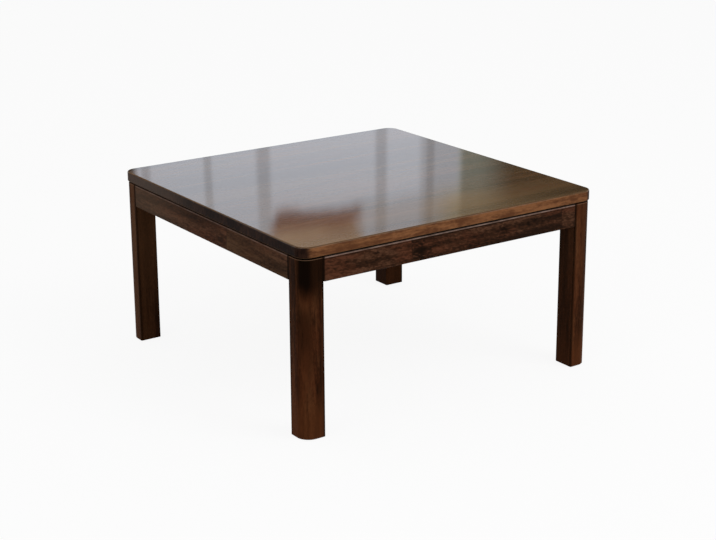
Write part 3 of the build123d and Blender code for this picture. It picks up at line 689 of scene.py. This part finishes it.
def legFinish(name, changes):
    look = {**legWood, **changes}
    wood, colour, streaks, pores, (x, y, z) = woodFinish(f"{name} wood", look)
    # heights that wander, so that no tone ends at a straight line
    wander = wood.noise(wood.join(x, y, z * 0.25), 30.0, 2.0, 0.5) - 0.5
    rough = z + wander * 0.14
    # painted light from the floor: paler towards the foot
    foot = 1 - rough.rise(*legLook["footHeight"])
    colour = wood.mixColour(foot * look["footLightShare"], colour, legLook["footLightTone"])
    # painted shade: the faces that look under the table are darker
    side = legLook["innerSide"]
    inwardX = 1 - abs(x).rise(side, side + legLook["innerSoft"])
    inwardY = 1 - abs(y).rise(side, side + legLook["innerSoft"])
    inward = inwardX.larger(inwardY)
    colour = wood.mixColour(inward * look["innerShadeShare"], colour, legLook["innerShadeTone"])
    # painted light on those faces, growing upwards
    pale = inward * z.rise(*legLook["paleHeight"]) * look["innerLightShare"]
    colour = wood.mixColour(pale, colour, look["light"])
    # darker upwards in painted shade, with a dark band across the rounded corner; at the head, painted
    # shadow of the board, most on the outer face and the rounded corner
    line = legLook["outerSide"] - legLook["rounding"]
    front = (abs(y) - line).rise(0.0, legLook["cornerSoft"])
    corner = front.smaller((abs(x) - line).rise(0.0, legLook["cornerSoft"]))
    band = rough.rise(*legLook["bandStart"]) * (1 - rough.rise(*legLook["bandEnd"]))
    deep = rough.rise(*legLook["upHeight"]) * look["upShare"] + band * corner * look["bandShare"]
    colour = wood.mixColour(deep, colour, legLook["topTone"])
    headShade = front * look["headShare"] + corner * look["cornerShare"] + look["capShare"]
    head = (z + wander * 0.06).rise(*legLook["headHeight"]) * headShade
    colour = wood.mixColour(head.smaller(0.98), colour, legLook["headShadeTone"])
    # painted highlight: a thin light line at the top edge
    highlight = z.rise(*legLook["highlightStart"]) * (1 - z.rise(*legLook["highlightEnd"]))
    colour = wood.mixColour(highlight * 0.5, colour, legLook["highlightTone"])
    # painted shade along the edges beside the aprons, and in the seams there
    arris = 0.0
    for sideX, sideY in (("outerSide", "innerSide"), ("innerSide", "outerSide")):
        acrossX = abs(x) - legLook[sideX]
        acrossY = abs(y) - legLook[sideY]
        arris = (1 - (acrossX * acrossX + acrossY * acrossY) ** 0.5).larger(arris)
    colour = wood.mixColour(arris.rise(0.9935, 0.9985) * 0.7, colour, legLook["seamShadeTone"])
    return woodSurface(wood, look, colour, streaks, pores)


topLook = {
    **sideWood,
    "stretch": 0.05,
    "blocks": ((-1.0, 0.5),),
    "broadScale": 8.0,
    "figureScale": 5.0,
    "figureRings": 7.0,
    "streakScale": 42.0,
    "fineScale": 520.0,
    "fineShare": 0.46,
    "contrast": 0.20,
    "fleckShare": 0.10,
    "dark": screen(68, 46, 29),
    "middle": screen(88, 62, 40),
    "light": screen(108, 79, 52),
    "red": screen(110, 66, 40),
    "redShare": 0.35,
    "olive": screen(94, 72, 46),
    "poreTone": 0.42,
    "corner": 0.027,
    "cornerSteps": 14,
    "topRound": 0.0025,
    "topSteps": 5,
    "bottomRound": 0.0015,
    "bottomSteps": 3,
    "edgeReach": (0.0026, 0.0010),       # below the top, where the edge's own wood begins
    "arrisReach": (0.0026, 0.0016),
    "underReach": (0.0004, 0.0012),      # above the underside
    "endReach": (-0.028, -0.008),        # the end grain reaches round the corners
    "farReach": (-0.02, 0.27),           # along Y, where painted light makes the left end paler
    "edgeLight": screen(128, 85, 54),
    "edgeDark": screen(88, 54, 33),
    "endLight": screen(50, 31, 22),
    "endDark": screen(22, 12, 9),
    "endFar": screen(96, 82, 72),
    # a painted highlight on the top arris
    "highlightTone": screen(168, 140, 112),
    "underTone": screen(92, 66, 46),
    "underLight": screen(112, 84, 60),
    "gloss": 0.015,
    "coat": 0.9,
    "arrisCoat": 0.5,
}


def topFinish(look, low, high):
    wood, colour, streaks, pores, (x, y, z) = woodFinish("lacquered top", look)
    halfX = high.x - look["corner"]
    halfY = high.y - look["corner"]
    start, end = look["edgeReach"]
    edge = 1 - z.rise(high.z - start, high.z - end)
    endSide = ((abs(x) - halfX) - (abs(y) - halfY)).rise(*look["endReach"])
    patchy = wood.noise(wood.join(x * 0.12, y, z), 90.0, 4.0, 0.6) * 0.50
    patchy = patchy + wood.noise(wood.join(x, y, z), 24.0, 3.0, 0.5) * 0.20
    patchy = patchy + wood.noise(wood.join(x * 0.30, y, z), 300.0, 3.0, 0.65) * 0.30
    long = wood.mixColour(patchy.rise(0.41, 0.58), look["edgeDark"], look["edgeLight"])
    cut = wood.noise(wood.join(x, y, z * 0.5), 150.0, 3.0, 0.6) * 0.5
    cut = cut + wood.noise(wood.join(x, y, z), 14.0, 2.0) * 0.5
    short = wood.mixColour(cut.rise(0.36, 0.66), look["endDark"], look["endLight"])
    # painted light: the end grain turns paler towards the back
    short = wood.mixColour(y.rise(*look["farReach"]) * 0.42, short, look["endFar"])
    side = wood.mixColour(endSide, long, short)
    start, end = look["arrisReach"]
    arris = z.rise(high.z - start, high.z - end) * edge
    # painted highlight along the top arris of the long sides
    highlight = arris * (1 - endSide)
    side = wood.mixColour(highlight * 0.55, side, look["highlightTone"])
    colour = wood.mixColour(edge, colour, side)
    start, end = look["underReach"]
    under = 1 - z.rise(low.z + start, low.z + end)
    veneer = wood.mixColour(streaks.rise(0.3, 0.7), look["underTone"], look["underLight"])
    colour = wood.mixColour(under, colour, veneer)
    normal = wood.bump(streaks * 0.6 - pores * 0.5, 0.08, 0.0004)
    roughness = 0.32 + streaks * 0.08 + under * 0.25
    coat = (1 - edge) * look["coat"] + arris * look["arrisCoat"]
    return wood.surface({"Base Color": colour, "Roughness": roughness, "Normal": normal,
                         "Specular IOR Level": look["gloss"], "Coat Weight": coat, "Coat Roughness": 0.05,
                         "Coat IOR": 1.5})


def makeBoard(look):
    low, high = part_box("tabletop_board")
    mesh = block(low, high)
    bevel(mesh, along(mesh, 2), look["corner"], look["cornerSteps"])
    bevel(mesh, rim(mesh, high.z), look["topRound"], look["topSteps"])
    bevel(mesh, rim(mesh, low.z), look["bottomRound"], look["bottomSteps"])
    board = finished("top_board", mesh, topFinish(look, low, high))
    settle(evenShading(board), "tabletop_board")


def makeLeg(name, look, material):
    low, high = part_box(name)
    mesh = block(low, high)
    outward = ((low + high) / 2).xy
    shoulder = high.z - look["flatHeight"]
    bmesh.ops.bisect_plane(mesh, geom=mesh.verts[:] + mesh.edges[:] + mesh.faces[:], dist=hair,
                           plane_co=(0, 0, shoulder), plane_no=(0, 0, 1))

    # how far out a standing edge is: 0 at the inner corner, 2 at the outer one
    def place(edge):
        point = edge.verts[0].co
        return (abs(point.x) > abs(outward.x)) + (abs(point.y) > abs(outward.y))

    def standing(which):
        return [edge for edge in along(mesh, 2) if place(edge) == which]

    above = [edge for edge in standing(0) if min(v.co.z for v in edge.verts) > shoulder - hair]
    bevel(mesh, above, look["flat"], segments=1)
    below = [edge for edge in standing(0) if max(v.co.z for v in edge.verts) < shoulder + hair]
    bevel(mesh, below, look["edge"], look["edgeSteps"])
    bevel(mesh, standing(1), look["edge"], look["edgeSteps"])
    bevel(mesh, standing(2), look["rounding"], look["roundingSteps"])
    bevel(mesh, rim(mesh, low.z) | rim(mesh, high.z), look["end"], look["endSteps"])
    crease(mesh, look["creaseAngle"])
    leg = finished(name.replace("leg", "leg_wood"), mesh, material)
    settle(evenShading(leg), name)


# metals
metalLook = {
    "dark": (0.42, 0.43, 0.45),
    "light": (0.66, 0.66, 0.65),
    "stretch": (1.0, 1.0, 1.0),
    "cloudScale": 60.0,
    "grainScale": 900.0,
    "roughness": 0.36,
    "roughSpread": 0.18,
    "bump": 0.12,
    "spangle": 0.0,                      # scale of the crystals in galvanised sheet
    "heat": 0.0,                         # how far aside the heat has tarnished the metal
    "heatTone": (0.74, 0.60, 0.38),
}


def metalFinish(name, **changes):
    look = {**metalLook, **changes}
    metal = Finish(name)
    place = metal.place(scale=look["stretch"])
    cloud = metal.noise(place, look["cloudScale"], 3.0, 0.55)
    fine = metal.noise(place, look["grainScale"], 4.0, 0.65)
    colour = metal.ramp(cloud.rise(0.32, 0.68), (0.0, look["dark"]), (1.0, look["light"]))
    roughness = look["roughness"] + (fine - 0.5) * look["roughSpread"]
    if look["spangle"]:
        cell = metal.add("ShaderNodeTexVoronoi", {}, Vector=place, Scale=look["spangle"], output="Color")
        shade = metal.split(cell)[0]
        colour = metal.mixColour(shade * 0.55, colour, look["dark"])
        roughness = roughness + shade * 0.12
    if look["heat"]:
        x, y, z = metal.split(metal.place())
        near = 1 - abs(abs(y) - look["heat"]).rise(0.004, 0.034)
        near = near * (1 - abs(x).rise(0.10, 0.135)) * (0.5 + cloud * 0.5)
        colour = metal.mixColour(near * 0.5, colour, look["heatTone"])
    normal = metal.bump(fine, look["bump"], 0.0002)
    return metal.surface({"Base Color": colour, "Roughness": roughness, "Metallic": 1.0, "Normal": normal})


# hanger bolts lie on the table's diagonals, so their threads follow the distance from the middle
def threadFinish(name, pitch):
    metal = Finish(name)
    x, y, z = metal.split(metal.place())
    distance = (x * x + y * y) ** 0.5
    thread = abs((distance / pitch).fraction() - 0.5) * 2
    cloud = metal.noise(metal.place(), 90.0, 3.0, 0.6)
    # painted shade: the colour darkens in the thread's grooves
    colour = metal.ramp(thread * 0.6 + cloud * 0.4, (0.0, (0.24, 0.24, 0.25)), (1.0, (0.66, 0.66, 0.64)))
    normal = metal.bump(thread, 1.0, 0.0008)
    roughness = 0.34 + cloud * 0.1
    return metal.surface({"Base Color": colour, "Roughness": roughness, "Metallic": 1.0, "Normal": normal})


# plastics, rubber, ceramic and paint
plainLook = {
    "dark": (0.020, 0.020, 0.021),
    "light": (0.034, 0.034, 0.035),
    "cloudScale": 45.0,
    "grainScale": 1600.0,
    "roughness": 0.5,
    "roughSpread": 0.16,
    "bump": 0.25,
    "coat": 0.0,
    "specks": None,
    "dust": 0.12,
    "dustTone": (0.30, 0.28, 0.25),
}


def plainFinish(name, **changes):
    look = {**plainLook, **changes}
    plain = Finish(name)
    place = plain.place()
    cloud = plain.noise(place, look["cloudScale"], 3.0, 0.55)
    grain = plain.noise(place, look["grainScale"], 3.0, 0.6)
    colour = plain.ramp(cloud.rise(0.3, 0.7), (0.0, look["dark"]), (1.0, look["light"]))
    if look["specks"]:
        dots = plain.noise(place, 420.0, 2.0, 0.7).rise(0.66, 0.72)
        colour = plain.mixColour(dots * 0.6, colour, look["specks"])
    # a little dust on faces that look up
    up = plain.split(plain.add("ShaderNodeTexCoord", {}, output="Normal"))[2]
    dust = up.rise(0.4, 1.0) * cloud.rise(0.35, 0.65) * look["dust"]
    colour = plain.mixColour(dust, colour, look["dustTone"])
    roughness = look["roughness"] + (cloud - 0.5) * look["roughSpread"] + dust
    normal = plain.bump(grain, look["bump"], 0.0002)
    return plain.surface({"Base Color": colour, "Roughness": roughness, "Normal": normal,
                          "Coat Weight": look["coat"], "Coat Roughness": 0.08})


quartzLook = {
    "dark": (0.90, 0.90, 0.89),
    "light": (0.97, 0.97, 0.96),
    "lineScale": 500.0,                  # drawn lines along the tube
    "stretch": 0.05,
    "cloudScale": 70.0,
    "roughness": 0.10,
    "roughSpread": 0.12,
    "clear": 0.9,
    "bending": 1.46,
}


def quartzFinish(look):
    glass = Finish("quartz")
    x, y, z = glass.split(glass.place())
    lines = glass.noise(glass.join(x * look["stretch"], y, z), look["lineScale"], 2.0, 0.6)
    cloud = glass.noise(glass.place(), look["cloudScale"], 2.0, 0.5)
    colour = glass.mixColour(lines, look["dark"], look["light"])
    normal = glass.bump(lines, 0.08, 0.0002)
    roughness = look["roughness"] + cloud * look["roughSpread"]
    return glass.surface({"Base Color": colour, "Roughness": roughness, "Normal": normal,
                          "Transmission Weight": look["clear"], "IOR": look["bending"]})


railWood = {
    **sideWood,
    "stretch": 0.06,
    "dark": screen(150, 116, 78),
    "middle": screen(182, 148, 106),
    "light": screen(206, 176, 134),
    "red": screen(186, 142, 98),
    "redShare": 0.3,
    "olive": screen(176, 146, 104),
    "knotTone": screen(110, 76, 46),
    "contrast": 0.2,
    "fleckShare": 0.12,
    "poreTone": 0.16,
}


def railFinish(name, **changes):
    wood, colour, streaks, pores, place = woodFinish(name, {**railWood, **changes})
    normal = wood.bump(streaks - pores * 0.6, 0.35, 0.0006)
    return wood.surface({"Base Color": colour, "Roughness": 0.62 + streaks * 0.2, "Normal": normal,
                         "Specular IOR Level": 0.25})


# a CAD node as it is, with its finish
def coatNode(name, material):
    materials = cadNodes[name].data.materials
    materials.clear()
    materials.append(material)


copyLook = {
    "weldReach": 2e-6,
    "creaseAngle": 32,
}


# a merged copy of a CAD node, smooth over its curves and sharp at its corners
def smoothCopy(name, look, material):
    mesh = bmesh.new()
    mesh.from_mesh(cadNodes[name].data)
    bmesh.ops.remove_doubles(mesh, verts=mesh.verts, dist=look["weldReach"])
    crease(mesh, look["creaseAngle"])
    copy = finished(f"{name}_finished", mesh, material)
    settle(evenShading(copy), name)


# screws: the shape of a head and its shank, then each row's place, seat and length
screws = {
    "headRadius": 0.0040,
    "headHeight": 0.0024,
    "shankRadius": 0.0019,
    "shankSunk": 0.0003,                 # the shank reaches this far into the head
    "tipTaper": 0.8,
    "headSides": 9,                      # faces across the head, an odd number for the cross's sake
    "headFall": 0.55,                    # how far the head falls to its rim
    "recessDepth": 0.0013,
    "recessTaper": 0.72,
    "creaseAngle": 38,
    "plateAlong": 0.2798,                # the corner plates' screws
    "plateSeat": 0.3518,
    "plateRows": (0.33875, 0.36075),
    "plateLength": 0.014,
    "mountLine": 0.161,
    "mountSpread": 0.110,
    "mountSeat": 0.3418,
    "mountLength": 0.0132,
    "guardLine": 0.16025,
    "guardSpread": 0.062,
    "guardSeat": 0.3406,
    "guardLength": 0.0024,
    "boxLine": 0.178,
    "boxSpread": 0.046,
    "boxSeat": 0.3238,
    "boxLength": 0.0312,
    "bracketReach": 0.030,
    "bracketSeat": 0.3656,
    "bracketLength": 0.0024,
}


# a domed head with a cross recess, on a plain shank
def addScrew(mesh, place, direction, length, look):
    turn = Vector(direction).to_track_quat("Z", "Y").to_matrix().to_4x4()
    matrix = Matrix.Translation(place) @ turn
    radius = look["headRadius"]
    height = look["headHeight"]
    sides = look["headSides"]
    made = bmesh.ops.create_grid(mesh, x_segments=sides, y_segments=sides, size=1.0)["verts"]
    faces = list({face for vertex in made for face in vertex.link_faces})
    # the cross is five faces long and one wide
    reach = 5 / sides + 0.01
    arm = 1 / sides + 0.01

    def inCross(face):
        point = face.calc_center_median()
        wide = max(abs(point.x), abs(point.y))
        narrow = min(abs(point.x), abs(point.y))
        return narrow < arm and wide < reach

    cross = [face for face in faces if inCross(face)]
    border = {edge for face in faces for edge in face.edges if len(edge.link_faces) == 1}
    # the square grid becomes a round dome
    for vertex in made:
        x, y, z = vertex.co
        flat = Vector((x * (1 - y * y / 2) ** 0.5, y * (1 - x * x / 2) ** 0.5, 0))
        vertex.co = flat * radius
        vertex.co.z = height * (1 - look["headFall"] * flat.length_squared ** 1.5)
    sunk = bmesh.ops.extrude_face_region(mesh, geom=cross)["geom"]
    sunk = [item for item in sunk if isinstance(item, bmesh.types.BMVert)]
    for vertex in sunk:
        vertex.co.z -= look["recessDepth"]
        vertex.co.x *= look["recessTaper"]
        vertex.co.y *= look["recessTaper"]
    bmesh.ops.delete(mesh, geom=cross, context="FACES")
    skirt = bmesh.ops.extrude_edge_only(mesh, edges=list(border))["geom"]
    skirt = [item for item in skirt if isinstance(item, bmesh.types.BMVert)]
    for vertex in skirt:
        vertex.co.z = 0
    base = {edge for vertex in skirt for edge in vertex.link_edges if len(edge.link_faces) == 1}
    bmesh.ops.contextual_create(mesh, geom=list(base))
    head = {vertex for vertex in made + sunk + skirt if vertex.is_valid}
    closed = {face for vertex in head for face in vertex.link_faces}
    bmesh.ops.recalc_face_normals(mesh, faces=list(closed))
    thick = look["shankRadius"]
    into = look["shankSunk"]
    shank = bmesh.ops.create_cone(mesh, cap_ends=True, segments=12, radius1=thick * look["tipTaper"],
                                  radius2=thick, depth=length + into,
                                  matrix=Matrix.Translation((0, 0, (into - length) / 2)))["verts"]
    bmesh.ops.transform(mesh, matrix=matrix, verts=list(head | set(shank)))


def makeScrews(name, seats, length, look, material):
    mesh = bmesh.new()
    for place, direction in seats:
        addScrew(mesh, place, direction, length, look)
    crease(mesh, look["creaseAngle"])
    settle(finished(f"{name}_finished", mesh, material), name)


def makeAllScrews(look, material):
    signs = (-1, 1)
    down = (0, 0, -1)
    seats = []
    for sideX in signs:
        for sideY in signs:
            for z in look["plateRows"]:
                seats.append(((sideX * look["plateAlong"], sideY * look["plateSeat"], z), (0, -sideY, 0)))
                seats.append(((sideX * look["plateSeat"], sideY * look["plateAlong"], z), (-sideX, 0, 0)))
    makeScrews("corner_plate_screws", seats, look["plateLength"], look, material)
    line = look["mountLine"]
    spread = look["mountSpread"]
    seat = look["mountSeat"]
    seats = [((side * line, row * spread, seat), down) for side in signs for row in signs]
    seats += [((row * spread, side * line, seat), down) for side in signs for row in signs]
    makeScrews("heater_mount_screws", seats, look["mountLength"], look, material)
    seats = [((side * look["guardLine"], row * look["guardSpread"], look["guardSeat"]), down)
             for side in signs for row in signs]
    makeScrews("guard_screws", seats, look["guardLength"], look, material)
    seats = [((look["boxLine"], row * look["boxSpread"], look["boxSeat"]), down) for row in signs]
    makeScrews("control_box_screws", seats, look["boxLength"], look, material)
    reach = look["bracketReach"]
    angles = [radians(120 * turn) for turn in range(3)]
    seats = [((reach * cos(angle), reach * sin(angle), look["bracketSeat"]), down) for angle in angles]
    makeScrews("motor_bracket_screws", seats, look["bracketLength"], look, material)


# guard mesh: round wires, bent where the dish begins and ends
guard = {
    "wireRadius": 0.0011,
    "sides": 8,
    "pitch": 0.013,
    "pairs": 10,
    "depth": 0.022,
    "slope": 0.016,
    "shoulder": 0.1375,
    "rim": 0.1493,
    "topHeight": 0.3281,
    "bendReach": 0.0035,
    "cornerRadius": 0.012,
    "leastDrop": 0.001,                  # a wire that would bend less runs straight
}


# rounds the corners of a path
def bent(points, reach):
    path = [points[0]]
    for before, point, after in zip(points, points[1:], points[2:]):
        back = (before - point).normalized()
        ahead = (after - point).normalized()
        if back.dot(ahead) > -0.999:
            path += [point + back * reach, point + (back + ahead) * reach * 0.25, point + ahead * reach]
    return path + [points[-1]]


# round wires along paths of corners
def wireMesh(name, paths, radius, sides, material):
    curve = bpy.data.curves.new(name, "CURVE")
    curve.dimensions = "3D"
    curve.bevel_depth = radius
    curve.bevel_resolution = sides // 2 - 2
    curve.use_fill_caps = True
    for path in paths:
        spline = curve.splines.new("POLY")
        spline.points.add(len(path) - 1)
        for point, corner in zip(spline.points, path):
            point.co = (*corner, 1.0)
    holder = bpy.data.objects.new(name, curve)
    data = bpy.data.meshes.new_from_object(holder)
    bpy.data.objects.remove(holder)
    piece = bpy.data.objects.new(name, data)
    scene.collection.objects.link(piece)
    data.materials.clear()
    data.materials.append(material)
    for face in data.polygons:
        face.use_smooth = True
    return piece


def makeGuard(look, material):
    slant = atan2(look["depth"], look["slope"])
    paths = []
    for layer in (0, 1):
        inset = layer * 2 * look["wireRadius"] * tan(slant / 2)
        shoulder = look["shoulder"] - inset
        height = look["topHeight"] + layer * 2 * look["wireRadius"]
        for index in range(-look["pairs"], look["pairs"] + 1):
            aside = index * look["pitch"]
            drop = min(look["depth"], max(0.0, (shoulder - abs(aside)) / look["slope"] * look["depth"]))
            flat = shoulder - drop / look["depth"] * look["slope"]
            rim = look["rim"]
            profile = [(-rim, 0), (-shoulder, 0), (-flat, -drop), (flat, -drop), (shoulder, 0), (rim, 0)]
            points = [Vector((run, aside, height + fall)) for run, fall in profile]
            if layer:
                points = [Vector((-point.y, point.x, point.z)) for point in points]
            straight = drop <= look["leastDrop"]
            paths.append([points[0], points[-1]] if straight else bent(points, look["bendReach"]))
        for side in (-1, 1):
            line = side * (look["rim"] - look["wireRadius"])
            reach = look["rim"] - look["cornerRadius"] / 2
            ends = [Vector((-reach, line, height)), Vector((reach, line, height))]
            if layer:
                ends = [Vector((-point.y, point.x, point.z)) for point in ends]
            paths.append(ends)
    settle(wireMesh("guard_wires", paths, look["wireRadius"], look["sides"], material), "guard_grille")


# elements: a coil of resistance wire inside each quartz tube
element = {
    "height": 0.3425,
    "aside": 0.095,
    "halfLength": 0.124,
    "coilRadius": 0.0031,
    "wireRadius": 0.00045,
    "wireSides": 6,
    "pitch": 0.0023,
    "turnPoints": 12,
    "tubeRadius": 0.006,
    "tubeWall": 0.001,
    "mouthRound": 0.0003,
    "tubeSides": 32,
    "weldReach": 1e-7,
    "creaseAngle": 40,
}


def makeCoil(name, aside, look, material):
    turns = 2 * look["halfLength"] / look["pitch"] - 2
    steps = int(turns * look["turnPoints"])
    path = []
    for step in range(steps + 1):
        angle = 2 * pi * step / look["turnPoints"]
        run = (step / steps * 2 - 1) * (look["halfLength"] - look["pitch"])
        y = aside + look["coilRadius"] * cos(angle)
        path.append(Vector((run, y, look["height"] + look["coilRadius"] * sin(angle))))
    settle(wireMesh(f"{name}_wire", [path], look["wireRadius"], look["wireSides"], material), name)


# a wall's section spun about the tube's axis
def makeTube(name, aside, look, material):
    end = look["halfLength"]
    outer = look["tubeRadius"]
    inner = outer - look["tubeWall"]
    cut = look["mouthRound"]
    profile = [(-end, inner + cut), (-end, outer - cut), (cut - end, outer), (end - cut, outer),
               (end, outer - cut), (end, inner + cut), (end - cut, inner), (cut - end, inner)]
    mesh = bmesh.new()
    corners = [mesh.verts.new((x, 0, radius)) for x, radius in profile]
    edges = [mesh.edges.new(pair) for pair in zip(corners, corners[1:] + corners[:1])]
    bmesh.ops.spin(mesh, geom=corners + edges, cent=(0, 0, 0), axis=(1, 0, 0), angle=2 * pi,
                   steps=look["tubeSides"], use_merge=True, use_duplicate=False)
    bmesh.ops.remove_doubles(mesh, verts=mesh.verts, dist=look["weldReach"])
    bmesh.ops.recalc_face_normals(mesh, faces=mesh.faces)
    bmesh.ops.translate(mesh, vec=(0, aside, look["height"]), verts=mesh.verts)
    crease(mesh, look["creaseAngle"])
    settle(finished(f"{name}_glass", mesh, material), name)


makeFloor(studio)
makeRoom(room)
worldBackground(studio)
makeLamp("key lamp", studio["keyPlace"], studio["keySize"], studio["keyPower"])
makeLamp("fill lamp", studio["fillPlace"], studio["fillSize"], studio["fillPower"])
print("studio made")

makeBoard(topLook)
for name, changes in legWoods.items():
    makeLeg(name, legLook, legFinish(name, changes))
print("top and legs made")

zinc = metalFinish("zinc plate")
slotFinish = {
    "rail_wood": railFinish("rail wood along X", seed=21.0, knots=((0.06, 0.357, 0.006),)),
    "bumper_rubber": plainFinish("rubber", roughness=0.8, bump=0.4, dark=(0.022, 0.021, 0.020)),
    "glide_nylon": plainFinish("nylon", dark=(0.060, 0.045, 0.035), light=(0.10, 0.08, 0.065),
                               roughness=0.6),
    "zinc_steel": zinc,
    "housing_steel": metalFinish("galvanised sheet", spangle=130.0, dark=(0.30, 0.31, 0.33),
                                 light=(0.56, 0.57, 0.58), roughness=0.42, bump=0.06),
    "reflector_aluminium": metalFinish("bright aluminium", dark=(0.78, 0.78, 0.79), light=(0.90, 0.90, 0.90),
                                       stretch=(0.04, 1.0, 1.0), grainScale=700.0, roughness=0.16,
                                       roughSpread=0.12, bump=0.05, heat=element["aside"]),
    "quartz": quartzFinish(quartzLook),
    "heating_wire": metalFinish("heating wire", dark=(0.14, 0.12, 0.11), light=(0.34, 0.31, 0.29),
                                roughness=0.48),
    "ceramic": plainFinish("glazed ceramic", dark=(0.72, 0.70, 0.65), light=(0.84, 0.83, 0.79),
                           roughness=0.34, bump=0.08, coat=0.5, specks=(0.42, 0.36, 0.28)),
    "terminal_brass": metalFinish("brass", dark=(0.55, 0.40, 0.18), light=(0.80, 0.64, 0.34),
                                  roughness=0.3),
    "fan_plastic": plainFinish("fan plastic", roughness=0.46, bump=0.15),
    "motor_steel": metalFinish("motor steel", stretch=(1.0, 1.0, 6.0), dark=(0.36, 0.36, 0.36),
                               light=(0.58, 0.58, 0.57), grainScale=500.0),
    "guard_black": plainFinish("black paint", dark=(0.012, 0.012, 0.012), light=(0.022, 0.022, 0.022),
                               roughness=0.34, roughSpread=0.1, bump=0.12, dust=0.06),
    "box_plastic": plainFinish("box plastic", bump=0.45, grainScale=1300.0),
    "dial_plastic": plainFinish("dial plastic", dark=(0.60, 0.58, 0.52), light=(0.70, 0.68, 0.63),
                                roughness=0.42, bump=0.15, dust=0.05),
    "pin_nickel": metalFinish("nickel", dark=(0.60, 0.57, 0.53), light=(0.78, 0.75, 0.71),
                              roughness=0.2, bump=0.03),
}
railAlongY = railFinish("rail wood along Y", grain="Y", seed=27.0, knots=((-0.14, 0.352, 0.007),))
boltThread = threadFinish("bolt thread", 0.00125)
print("finishes made")

makeGuard(guard, slotFinish["guard_black"])
for row, side in (("front", -1), ("back", 1)):
    makeCoil(f"heating_coil_{row}", side * element["aside"], element, slotFinish["heating_wire"])
    makeTube(f"quartz_tube_{row}", side * element["aside"], element, slotFinish["quartz"])
makeAllScrews(screws, zinc)
print("guard, elements and screws made")

# the other nodes keep their CAD shape, and the flat-sided ones their mesh too
ownShapes = ("tabletop_board", "guard_grille", "leg_", "heating_coil", "quartz_tube", "apron_")
flatSided = ("bumper_pads", "cross_rail", "heater_rail")
for name in cadNodes:
    if name.startswith(ownShapes) or name.endswith("screws"):
        continue
    material = slotFinish[slotOf[name]]
    if name.startswith("heater_rail"):
        material = railAlongY
    if name == "hanger_bolts":
        material = boltThread
    if name.startswith(flatSided):
        coatNode(name, material)
    else:
        smoothCopy(name, copyLook, material)
for name, changes in apronWoods.items():
    coatNode(name, apronFinish(name, changes))
print("CAD nodes finished")
